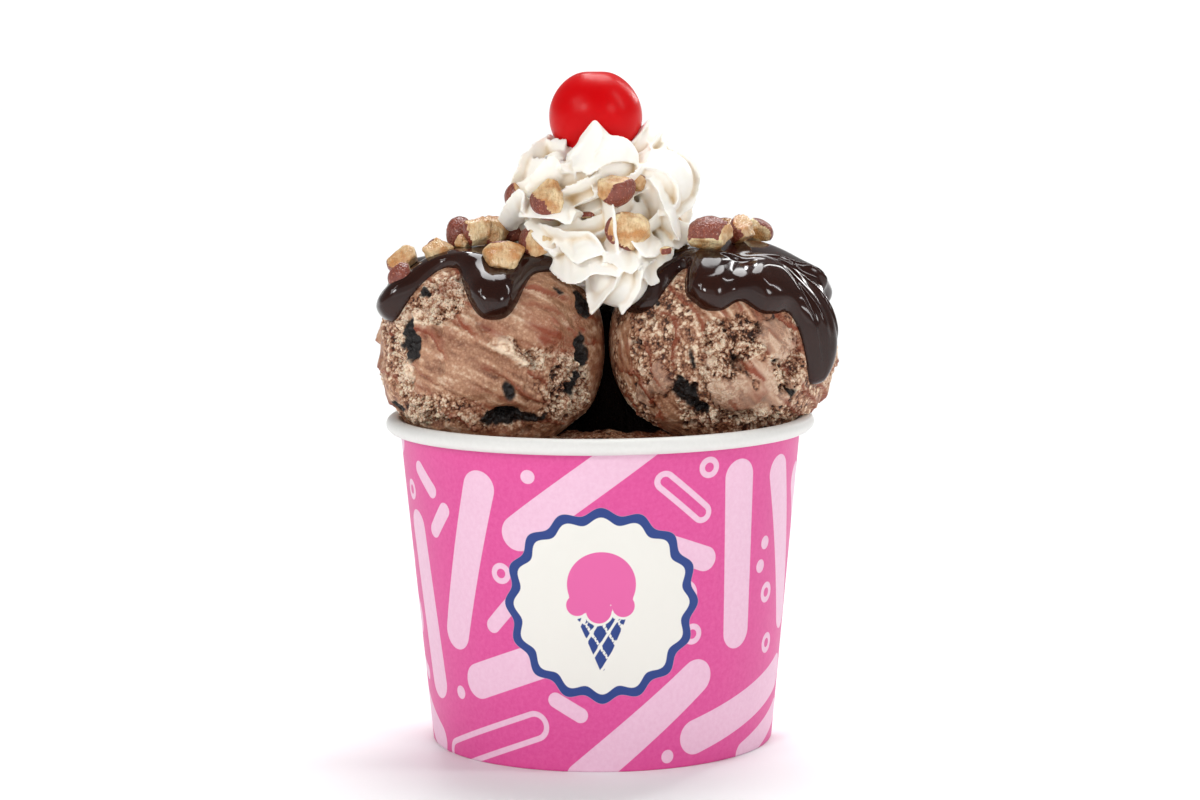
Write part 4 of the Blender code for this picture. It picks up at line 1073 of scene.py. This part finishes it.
# %% Join the ropes
def largest_island(points, quads):
    """Keeps the quads of the largest joined piece. Labels spread to neighbours until none changes."""
    label = np.arange(len(points))
    while True:
        lowest = label[quads].min(1)
        spread = label.copy()
        np.minimum.at(spread, quads.ravel(), np.repeat(lowest, 4))
        spread = spread[spread]
        if np.array_equal(spread, label):
            break
        label = spread
    keep = label == np.bincount(label).argmax()
    renumber = np.cumsum(keep) - 1
    return points[keep], renumber[quads[keep[quads[:, 0]]]]


def one_skin(name, shell, voxel, smooth_steps):
    """The shell remeshed to one even skin by voxels and smoothed, as points in millimetres and quads."""
    points, quads, triangles = shell
    mesh = bpy.data.meshes.new(name)
    mesh.from_pydata(points * MM, [], quads.tolist() + triangles.tolist())
    loose = show(name, mesh)
    even = loose.modifiers.new("even", "REMESH")
    even.mode = "VOXEL"
    even.voxel_size = voxel * MM
    soften = loose.modifiers.new("soften", "SMOOTH")
    soften.factor = 0.5
    soften.iterations = smooth_steps
    baked = loose.evaluated_get(bpy.context.evaluated_depsgraph_get()).to_mesh()
    co = np.empty(len(baked.vertices) * 3)
    baked.vertices.foreach_get("co", co)
    corners = np.empty(len(baked.loops), int)
    baked.loops.foreach_get("vertex_index", corners)
    bpy.data.objects.remove(loose)
    return co.reshape(-1, 3) / MM, corners.reshape(-1, 4)


def normals_of(points, quads):
    """Each point's normal: the sum of its quads' crossed diagonals."""
    a, b, c, d = np.moveaxis(points[quads], 1, 0)
    face = np.cross(c - a, d - b)
    normal = np.zeros_like(points)
    for corner in quads.T:
        np.add.at(normal, corner, face)
    return normal / np.linalg.norm(normal, axis=1)[:, None]


def relaxed(points, quads, rounds):
    """The points after each has moved to the mean of its neighbours, again and again."""
    start, end = quads.ravel(), np.roll(quads, -1, axis=1).ravel()
    start, end = np.concatenate([start, end]), np.concatenate([end, start])
    count = np.bincount(start, minlength=len(points))[:, None]
    for _ in range(rounds):
        points = np.stack([np.bincount(start, points[end, i], len(points)) for i in range(3)], -1) / count
    return points


parts = [ball_shell(np.array(centre) + CUP_AXIS, oval(half)) for centre, half in (CORE, *FOLDS)]
parts[1:1] = [rope_shell(CREAM_COURSE[0, 0], CREAM_COURSE[-1, 0]), peak_shell()]
parts += [blade_shell(*ruffle, 700 + 3 * index) for index, ruffle in enumerate(RUFFLES)]
cream_points, cream_quads = largest_island(*one_skin("ropes", merge_shells(parts), CREAM_VOXEL, 3))
normal = normals_of(cream_points, cream_quads)
bubbles = 0.05 * rough_noise(cream_points, 1.6, 73) + 0.14 * smooth_noise(cream_points, 4.0, 74)
cream_points = cream_points + normal * bubbles[:, None]
hollow = np.einsum("ij,ij->i", relaxed(cream_points, cream_quads, 70) - cream_points, normal)
print("cream skin:", len(cream_points), "points, hollows", np.percentile(hollow, (5, 50, 95)).round(2))

# %% [markdown]
# ### Cream
#
# Whipped cream is fat and air: very white where it is thick, with a satin gloss. Light goes about a
# millimetre into it, which is what softens the ridges. How far each point lies below its relaxed
# surroundings is an attribute, and by it the folds are painted a darker warm tone, as painted shade.

# %% Cream material
cream, tree, place = new_material("whipped_cream")
foam = add(tree, "TexNoise", place, Scale=900.0, Detail=3.0)
white = add(tree, "Mix", add(tree, "TexNoise", place, Scale=120.0), "#FCFAF5", "#F6F0E4")
# Painted shade: the deeper a point lies in a fold, the more it turns a darker warm tone
painted_fold_shade = add(tree, "MapRange", add(tree, "Attribute", attribute_name="hollow"), 0.05, 1.05)
finish_material(
    tree, Base_Color=add(tree, "Mix", painted_fold_shade, white, "#CFB388"), Roughness=0.4, Specular_IOR_Level=0.35,
    Normal=add(tree, "Bump", Height=foam, Distance=0.00012, Strength=0.35),
    Subsurface_Weight=0.2, Subsurface_Radius=(1.0, 0.85, 0.6), Subsurface_Scale=0.0008,
)
shell = (cream_points, cream_quads, np.empty((0, 3), int))
swirl = add_piece("whipped_cream_swirl", shell, cream, ["whipped_cream"], {"hollow": hollow})
# The voxel skin is finer than flat places need, so those are thinned out
thin = swirl.modifiers.new("thin", "DECIMATE")
thin.ratio = CREAM_TRIANGLES / (2 * len(cream_quads))

# %% [markdown]
# ## The cherry
#
# A maraschino cherry has a thin, tight, wet skin over clear red flesh. It is nearly a ball, with a
# dimple where the stem was pulled out and faint swells, which is enough to bend its reflections.

# %% Cherry
CHERRY_CENTRE = np.array([-0.5, 2.0, 138.2]) + CUP_AXIS
CHERRY_RADIUS, CHERRY_DIMPLE, CHERRY_DIMPLE_WIDTH = 10.3, 0.5, 0.28


def cherry_radius(direction):
    """The ball's radius, less a bell shaped dimple on top, plus soft swells."""
    polar = np.arccos(np.clip(direction[:, 2], -1, 1))
    swell = 0.10 * waves(direction, 81, 8, 2, 5)
    return CHERRY_RADIUS - CHERRY_DIMPLE * np.exp(-((polar / CHERRY_DIMPLE_WIDTH) ** 2)) + swell


cherry_skin, tree, place = new_material("maraschino_cherry")
red = add(tree, "Mix", add(tree, "TexNoise", place, Scale=90.0), "#C00208", "#D2080F")
pores = add(tree, "TexNoise", place, Scale=1500.0)
finish_material(
    tree, Base_Color=red, Roughness=0.3, Specular_IOR_Level=0.12,
    Normal=add(tree, "Bump", Height=pores, Distance=0.00005, Strength=0.25),
    Subsurface_Weight=0.3, Subsurface_Radius=(1.0, 0.06, 0.05), Subsurface_Scale=0.003,
)
shell = ball_shell(CHERRY_CENTRE, cherry_radius, 90, 160)
add_piece("cherry_fruit", shell, cherry_skin, ["cherry"])

# %% [markdown]
# ## Chopped almonds
#
# A knife leaves flat, fibrous cut faces, and some of the almond's rounded brown skin on one side.
# So each piece is an almond's oval cut by planes: along each direction, its radius is the smallest
# of the oval's and the planes', with slightly rounded edges. Where the oval is the smallest, the
# skin shows. All the pieces are one mesh, and each sits on what carries it.

# %% One chopped almond
NUT_RINGS, NUT_STEPS = 32, 52
NUT_EDGE = 42.0
NUT_PLANES = 13
NUT_FULL = 1.28


def chopped_almond(centre, frame_axes, size, skin_side, seed):
    """A soft minimum (sum of r ** -k) ** (-1 / k) of an oval's radius and some planes' radii.

    Returns the shell, and how much of each point is skin.
    """
    random = np.random.default_rng(seed)
    half = np.array(size) * NUT_FULL / 2
    direction = ball_grid(np.linspace(0, np.pi, NUT_RINGS + 2)[1:-1], NUT_STEPS)
    whole = 1.12 * oval(half)(direction @ frame_axes.T)
    # Planes spread evenly over the ball by golden angles, and none of them on the skin's side
    knife = np.linalg.qr(random.normal(size=(3, 3)))[0]
    share = (np.arange(NUT_PLANES) + 0.5) / NUT_PLANES
    spread = direction_of(np.pi * (1 + 5**0.5) * np.arange(NUT_PLANES), np.arccos(1 - 2 * share)) @ knife
    cuts = spread[spread @ skin_side < 0.25]
    depths = random.uniform(0.56, 0.90, len(cuts)) * np.linalg.norm(cuts @ frame_axes.T * half, axis=1)
    facing = direction @ cuts.T
    radii = np.where(facing > 0.05, depths / np.clip(facing, 0.05, 1), 99.0).T
    nearest_cut = np.min(radii, axis=0)
    radius = (whole**-NUT_EDGE + (radii**-NUT_EDGE).sum(0)) ** (-1 / NUT_EDGE)
    skin = np.clip((nearest_cut - whole) / 0.25, 0, 1)
    points = centre + direction * radius[:, None]
    chips = 0.24 * rough_noise(points, 1.6, seed + 5) * (1 - skin)
    wrinkles = 0.07 * smooth_noise(points @ frame_axes.T / [2.5, 0.5, 0.5], 1, seed + 6) * skin
    points = centre + direction * (radius + chips + wrinkles)[:, None]
    return closed_ball(points, NUT_STEPS), skin


# %% Where the almonds lie
# Azimuth and polar angle about the scoop, length, width, height, spin, and the side that has its
# skin, as an azimuth and an elevation in the frame. The golden ones have none in sight.
LEFT.nuts = (
    (-166, 45, 6, 5.4, 5, 20, 120, -30), (-152, 53, 4.6, 4, 3.4, 60, -100, 10),
    (-148, 33, 6.4, 4.8, 3.8, 10, 60, -40), (165, 17, 5.2, 4.6, 5.6, 80, -130, 20),
    (-112, 11, 6.4, 5.8, 7, 100, 200, -10), (-62, 9, 5.4, 5, 6, 30, 190, 0),
    (15, 13, 5.2, 4.6, 5.8, 50, -90, 30), (-78, 41, 8.6, 5.6, 4.4, 5, 90, 10),
    (-47, 34, 6.8, 5.4, 5.6, 120, 190, -20), (95, 34, 6.8, 5.4, 4.6, 0, 90, 20),
    (58, 26, 5.8, 5.2, 4.4, 40, 30, 30), (120, 52, 5.8, 4.8, 4, 70, 150, 0),
    (-140, 20, 3.6, 3, 2.8, 30, 40, 0), (170, 30, 3.4, 2.8, 2.6, 10, 180, 20), (70, 14, 4, 3.4, 3, 0, 60, 40),

)
RIGHT.nuts = (
    (-165, 24, 5.8, 4.6, 5.4, 40, 210, 10), (-104, 27, 8.6, 7.2, 6.4, 15, -110, 45),
    (-49, 16, 5.8, 4.6, 5.6, 70, 200, 0), (150, 34, 6.4, 5.2, 4.4, 20, 120, 10),
    (84, 30, 7, 5.4, 4.8, 60, 80, 30), (36, 22, 5.6, 5, 4.2, 0, 20, 20), (110, 54, 5.8, 4.6, 4, 30, 100, 0),
    (60, 12, 3.6, 3.2, 2.8, 10, 90, 30),

)
# Azimuth about the cup's axis and height instead
CREAM_NUTS = (
    (-125, 121.5, 8, 6.6, 5.4, 100, 230, -50), (-80, 122.8, 7.8, 5.8, 5.2, 35, -40, -35),
    (-53, 123.5, 3.8, 3.4, 3.2, 0, 60, 40), (-66, 113.8, 9.4, 6.4, 5.6, 20, 200, -20),
    (-164, 121, 4.6, 3.8, 3.6, 50, 200, 0), (60, 122, 6.6, 5.4, 4.6, 0, 60, 20),
    (112, 118.5, 7.4, 5.6, 4.8, 40, 100, 0), (158, 124, 5.2, 4.4, 4, 80, 180, 30),
    (18, 124.5, 5.6, 4.6, 4, 20, 0, 20), (-53, 109.8, 2.2, 1.8, 1.6, 0, -60, 0),
    (-101, 117, 3.6, 1.4, 1.4, 20, -100, 30), (40, 112, 5.4, 4.4, 3.8, 10, 40, 0),
    (135, 110, 4.6, 4, 3.6, 60, 130, 10),

)
NUT_SEAT = 0.9


def side_of(azimuth, elevation):
    return direction_of(np.radians(azimuth), np.radians(90 - elevation))


def axes_about(normal, spin):
    """Rows are the piece's length, turned by spin, its width, and its height, along the normal."""
    beside = np.cross(normal, (0.3, 0.2, 0.9) if abs(normal[2]) < 0.8 else (0, 1, 0))
    beside /= np.linalg.norm(beside)
    upward = np.cross(normal, beside)
    turn = np.radians(spin)
    length = beside * np.cos(turn) + upward * np.sin(turn)
    return np.stack([length, np.cross(normal, length), normal])


def seat_on_scoop(scoop, azimuth, polar, height):
    """A point above the ice cream, half the piece's height out along the surface's own normal."""
    steps = np.radians([(0, 0), (2, 0), (0, 2)])
    direction = direction_of(np.radians(azimuth) + steps[:, 0], np.radians(polar) + steps[:, 1])
    points = direction * ball_radius(scoop, direction, inset_from_edge(scoop, direction))[:, None]
    normal = np.cross(points[2] - points[0], points[1] - points[0])
    normal /= np.linalg.norm(normal)
    return middle_of(scoop) + points[0] + normal * (NUT_SEAT + height / 2), normal


cream_tree = BVHTree.FromPolygons(cream_points.tolist(), cream_quads.tolist())


def seat_on_cream(azimuth, height, thickness):
    """The cream's outermost point at this azimuth and height, found by a ray towards the axis."""
    out = side_of(azimuth, 0)
    start = CUP_AXIS + (0, 0, height) + out * 40
    hit = cream_tree.ray_cast(Vector(start), Vector(-out))[0]
    normal = side_of(azimuth, 15)
    return np.array(hit) + normal * thickness * 0.34, normal


# %% Almond material
# Cut flesh is cream and tan, darker and golden where it is toasted, with fibres. The skin is
# reddish brown, wrinkled, and carries a glint of sugar from the sauce.
almond, tree, place = new_material("toasted_almond")
skin, toast = (add(tree, "Attribute", attribute_name=name) for name in ("skin", "toast"))
fibre = add(tree, "TexNoise", add(tree, "Mapping", place, Scale=(2.6, 0.6, 0.9)), Scale=700.0, Detail=3.0)
patch = add(tree, "TexNoise", place, Scale=320.0, Detail=3.0)
flesh = add(tree, "Mix", add(tree, "MapRange", patch, 0.38, 0.62), "#F2DDB0", "#C98F55")
flesh = add(tree, "Mix", toast, flesh, "#B06A2C")
flesh = add(tree, "Mix", add(tree, "MapRange", fibre, 0.45, 0.95), flesh, "#A8763F")
sugar = add(tree, "MapRange", add(tree, "TexVoronoi", place, Scale=1500.0), 0.28, 0.14, 0.0, 0.5)
peel = add(tree, "Mix", sugar, add(tree, "Mix", fibre, "#571A10", "#9A4C36"), "#D89A80")
torn = add(tree, "Math", patch, skin, operation="ADD")
crystal = add(tree, "TexVoronoi", place, Scale=2200.0)
wrinkle = add(tree, "Math", crystal, fibre, operation="ADD")
finish_material(
    tree, Base_Color=add(tree, "Mix", add(tree, "MapRange", torn, 0.85, 0.98), flesh, peel), Roughness=0.34,
    Normal=add(tree, "Bump", Height=wrinkle, Distance=0.00025, Strength=0.8),
    Specular_IOR_Level=0.5, Coat_Weight=0.2, Coat_Roughness=0.12,
    Subsurface_Weight=0.1, Subsurface_Radius=(1.0, 0.6, 0.3), Subsurface_Scale=0.0006,
)

# %% Place the almonds
shells, skins, toasts = [], [], []


def place_nut(seat, normal, size, spin, skin_azimuth, skin_elevation, seed):
    skin_side = side_of(skin_azimuth, skin_elevation)
    shell, skin = chopped_almond(seat, axes_about(normal, spin), size, skin_side, seed)
    shells.append(shell)
    skins.append(skin)
    toasts.append(np.full(len(skin), np.random.default_rng(seed).uniform(0, 0.6) ** 1.5))


for scoop in SCOOPS:
    for index, (azimuth, polar, *size, spin, skin_azimuth, skin_elevation) in enumerate(scoop.nuts):
        seat, normal = seat_on_scoop(scoop, azimuth, polar, size[2])
        place_nut(seat, normal, size, spin, skin_azimuth, skin_elevation, 100 * scoop.seed + index)
for index, (azimuth, height, *size, spin, skin_azimuth, skin_elevation) in enumerate(CREAM_NUTS):
    seat, normal = seat_on_cream(azimuth, height, size[2])
    place_nut(seat, normal, size, spin, skin_azimuth, skin_elevation, 2000 + index)
weights = {"skin": np.concatenate(skins), "toast": np.concatenate(toasts)}
add_piece("chopped_almonds", merge_shells(shells), almond, (), weights)

# %% [markdown]
# ## The paper cup
#
# A cup of coated paperboard is a printed cone with its top rolled out into a rim and its bottom
# folded up round a recessed disc. The wall is a profile turned about the axis, with one step down
# its back where the board overlaps. The print is a generic one: pink, with pale bars and discs,
# and a scalloped badge with a cone on it. Each shape is a signed distance in millimetres, kept on
# the points, and the material draws its edge at zero, so edges stay crisp between the points.

# %% Wall profile and seam
# The profile runs round the rim's roll, down the outside, round the hem and up the inside
WALL_STEPS, WALL_RINGS = 560, 134
ROLL_POINTS = 28
ROLL_HALF_SEEN = 1.75
HEM_HEIGHT, HEM_FLOOR = 5.2, 1.0
SEAM_AT, SEAM_WIDTH = np.radians(97), 7.0
SLOT = PAPER + 2 * CLEARANCE
roll_middle = CUP_HEIGHT - ROLL_HALF_SEEN
wall_top = roll_middle + ROLL_HALF_SEEN * np.sin(np.radians(-130))
curl = np.radians(np.linspace(180, -128, ROLL_POINTS))
roll = np.stack([ROLL_RADIUS + ROLL_HALF_WIDTH * np.cos(curl), roll_middle + ROLL_HALF_SEEN * np.sin(curl)], -1)
heights = np.linspace(wall_top, 0.35, WALL_RINGS)
outside = np.stack([wall_outside(heights), heights], -1)
inner_at = lambda height, inset: (wall_outside(height) - PAPER - inset, height)
hem = np.array([
    (wall_outside(0) - 0.12, 0.08), (wall_outside(0) - 0.35, 0.0),
    inner_at(0, SLOT + PAPER - 0.1), inner_at(0.2, SLOT + PAPER), inner_at(HEM_HEIGHT, SLOT + PAPER),
    inner_at(HEM_HEIGHT, SLOT), inner_at(HEM_FLOOR, SLOT), inner_at(HEM_FLOOR, 0),
])
inner_heights = np.linspace(HEM_FLOOR + 1.5, ROLL_Z - 0.4, 8)
inside = np.stack([wall_outside(inner_heights) - PAPER, inner_heights], -1)
profile = np.vstack([roll, outside, hem, inside])
turn = np.linspace(-np.pi, np.pi, WALL_STEPS, endpoint=False)
past_seam = ((turn - SEAM_AT) % (2 * np.pi)) * FOOT_RADIUS
overlap = np.clip((SEAM_WIDTH - past_seam) / 2.5, 0, 1) * np.clip(past_seam / 0.4, 0, 1)
lift = np.zeros(len(profile))
lift[ROLL_POINTS // 2 : ROLL_POINTS + WALL_RINGS] = 0.32
out = profile[:, :1] + lift[:, None] * overlap[None]
cup_shell = closed_shell(about_axis(out, turn, profile[:, 1:]), tyre=True)
print("wall profile:", len(profile), "points round", WALL_STEPS, "steps")

# %% Print: signed distances on the unrolled wall
MEAN_RADIUS = wall_outside(34)
GIRTH = 2 * np.pi * MEAN_RADIUS
BAR_GAP = 2.1
LINE = 0.62
BADGE_AT, BADGE_Z = -90.0, 36.5
BADGE_RADIUS, BADGE_SCALLOP, BADGE_RING = 20.6, 0.75, 2.1


def bar_distance(u, v, bar):
    """Distance from a bar round the cup: to the line between its ends, less its half width."""
    centre_u, centre_v, half, radius, tilt = bar[:5]
    du = (u - centre_u + GIRTH / 2) % GIRTH - GIRTH / 2
    dv = v - centre_v
    along = du * np.cos(tilt) + dv * np.sin(tilt)
    across = dv * np.cos(tilt) - du * np.sin(tilt)
    return np.hypot(np.maximum(np.abs(along) - half, 0), across) - radius


# Half length, half width, and 1 where it is only an outline
BAR_KINDS = (
    (17, 3.9, 0), (13, 3.4, 1), (10, 2.7, 0), (8, 2.6, 1), (5.5, 2.3, 1), (3.2, 1.7, 0), (0, 2.3, 1),
    (0, 1.5, 0),
)


def scatter_bars(count, seed):
    """Draws bars one by one, and keeps each that stays clear of the ones before it."""
    random = np.random.default_rng(seed)
    kept = []
    share = np.linspace(-1, 1, 15)
    for draw in range(count):
        half, radius, outline = BAR_KINDS[draw * len(BAR_KINDS) // count]
        centre = random.uniform(-GIRTH / 2, GIRTH / 2), random.uniform(2, 66)
        bar = (*centre, half, radius, random.uniform(0, np.pi), outline)
        u = bar[0] + share * half * np.cos(bar[4])
        v = bar[1] + share * half * np.sin(bar[4])
        if all(bar_distance(u, v, other).min() > radius + BAR_GAP for other in kept):
            kept.append(bar)
    return kept


def polygon_distance(u, v, corners):
    """The largest distance from the sides of a convex polygon, whose corners run to the left."""
    ends = np.roll(corners, -1, axis=0)
    side = (ends - corners) / np.linalg.norm(ends - corners, axis=1)[:, None]
    return np.max([(u - c[0]) * s[1] - (v - c[1]) * s[0] for c, s in zip(corners, side)], axis=0)


rings = np.repeat(np.arange(len(profile)), WALL_STEPS)
u = np.tile(turn, len(profile)) * MEAN_RADIUS
v = np.repeat(profile[:, 1], WALL_STEPS)
bars = scatter_bars(2600, 90)
solid = np.min([bar_distance(u, v, bar) for bar in bars if not bar[5]], axis=0)
hollow = np.min([np.abs(bar_distance(u, v, bar) + LINE) - LINE for bar in bars if bar[5]], axis=0)
badge_u, badge_v = u - np.radians(BADGE_AT) * MEAN_RADIUS, v - BADGE_Z
badge_turn = np.arctan2(badge_v, badge_u)
badge = np.hypot(badge_u, badge_v) - BADGE_RADIUS - BADGE_SCALLOP * np.cos(16 * badge_turn)
ball = np.hypot(badge_u, badge_v - 4.6) - 7.2
drips = ((-5.2, 0.2, 2.3), (-0.6, -1.0, 2.7), (4.6, 0.0, 2.4))
drip = np.min([np.hypot(badge_u - x, badge_v - y) - radius for x, y, radius in drips], axis=0)
ball = np.minimum(np.maximum(ball, -(badge_v - 0.4)), drip)
wedge = polygon_distance(badge_u, badge_v, np.array([(-6.6, 0.6), (0, -15.0), (6.6, 0.6)]))
waffle = np.minimum(*[np.abs((badge_u + s * badge_v * 0.62 + 40.0) % 3.6 - 1.8) - 0.34 for s in (-1, 1)])
cone = np.maximum(wedge, -waffle)
# Each distance is turned over where needed, so that it is above zero inside its shape
outer_wall = (rings >= ROLL_POINTS - 1) & (rings < ROLL_POINTS + WALL_RINGS + 2)
weights = {
    "printed": outer_wall * 1.0,
    "pale_shapes": -np.minimum(solid, hollow),
    "badge": -badge,
    "badge_ring": badge + BADGE_RING,
    "badge_ball": -ball,
    "badge_cone": -np.maximum(cone, -(ball - 0.5)),
}
print("bars kept:", len(bars))

# %% Coated paper materials
# White board under a thin clear coat. The ink is slightly mottled at about half a millimetre, and
# the pale shapes are the board showing through a lighter tint.
EDGE = 0.07
cup_paper, tree, place = new_material("printed_coated_paperboard")
mottle = add(tree, "TexNoise", place, Scale=1100.0, Roughness=0.6)
tint = add(tree, "Mix", mottle, "#E0AEC8", "#ECC6DA")
colour = add(tree, "Mix", mottle, "#D03787", "#DE589D")
layers = (("pale_shapes", tint), ("badge", "#E6E4DD"), ("badge_ball", "#DE5FA0"), ("badge_cone", "#17377E"),
          ("badge_ring", "#17377E"))
for label, paint in layers:
    distance = add(tree, "Attribute", attribute_name=label)
    if label == "badge_ring":
        within = add(tree, "Attribute", attribute_name="badge")
        distance = add(tree, "Math", distance, within, operation="MINIMUM")
    colour = add(tree, "Mix", add(tree, "MapRange", distance, -EDGE, EDGE), colour, paint)
board = add(tree, "Mix", mottle, "#DAD9D5", "#E3E2DF")
printed = add(tree, "MapRange", add(tree, "Attribute", attribute_name="printed"), 0.45, 0.55)
finish_material(
    tree, Base_Color=add(tree, "Mix", printed, board, colour), Roughness=0.5, Specular_IOR_Level=0.4,
    Normal=add(tree, "Bump", Height=mottle, Distance=0.00006, Strength=0.4),
    Coat_Weight=0.12, Coat_Roughness=0.3,
)
add_piece("cup_printed_wall", cup_shell, cup_paper, ["cup_wall"], weights)

plain, tree, place = new_material("white_paperboard")
fibres = add(tree, "TexNoise", place, Scale=800.0, Detail=4.0)
finish_material(
    tree, Base_Color=add(tree, "Mix", fibres, "#E9E7E1", "#F7F6F2"), Roughness=0.65, Specular_IOR_Level=0.3,
    Normal=add(tree, "Bump", Height=fibres, Distance=0.0001, Strength=0.4),
)
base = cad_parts["cup_base"]
base.data.materials.clear()
base.data.materials.append(plain)
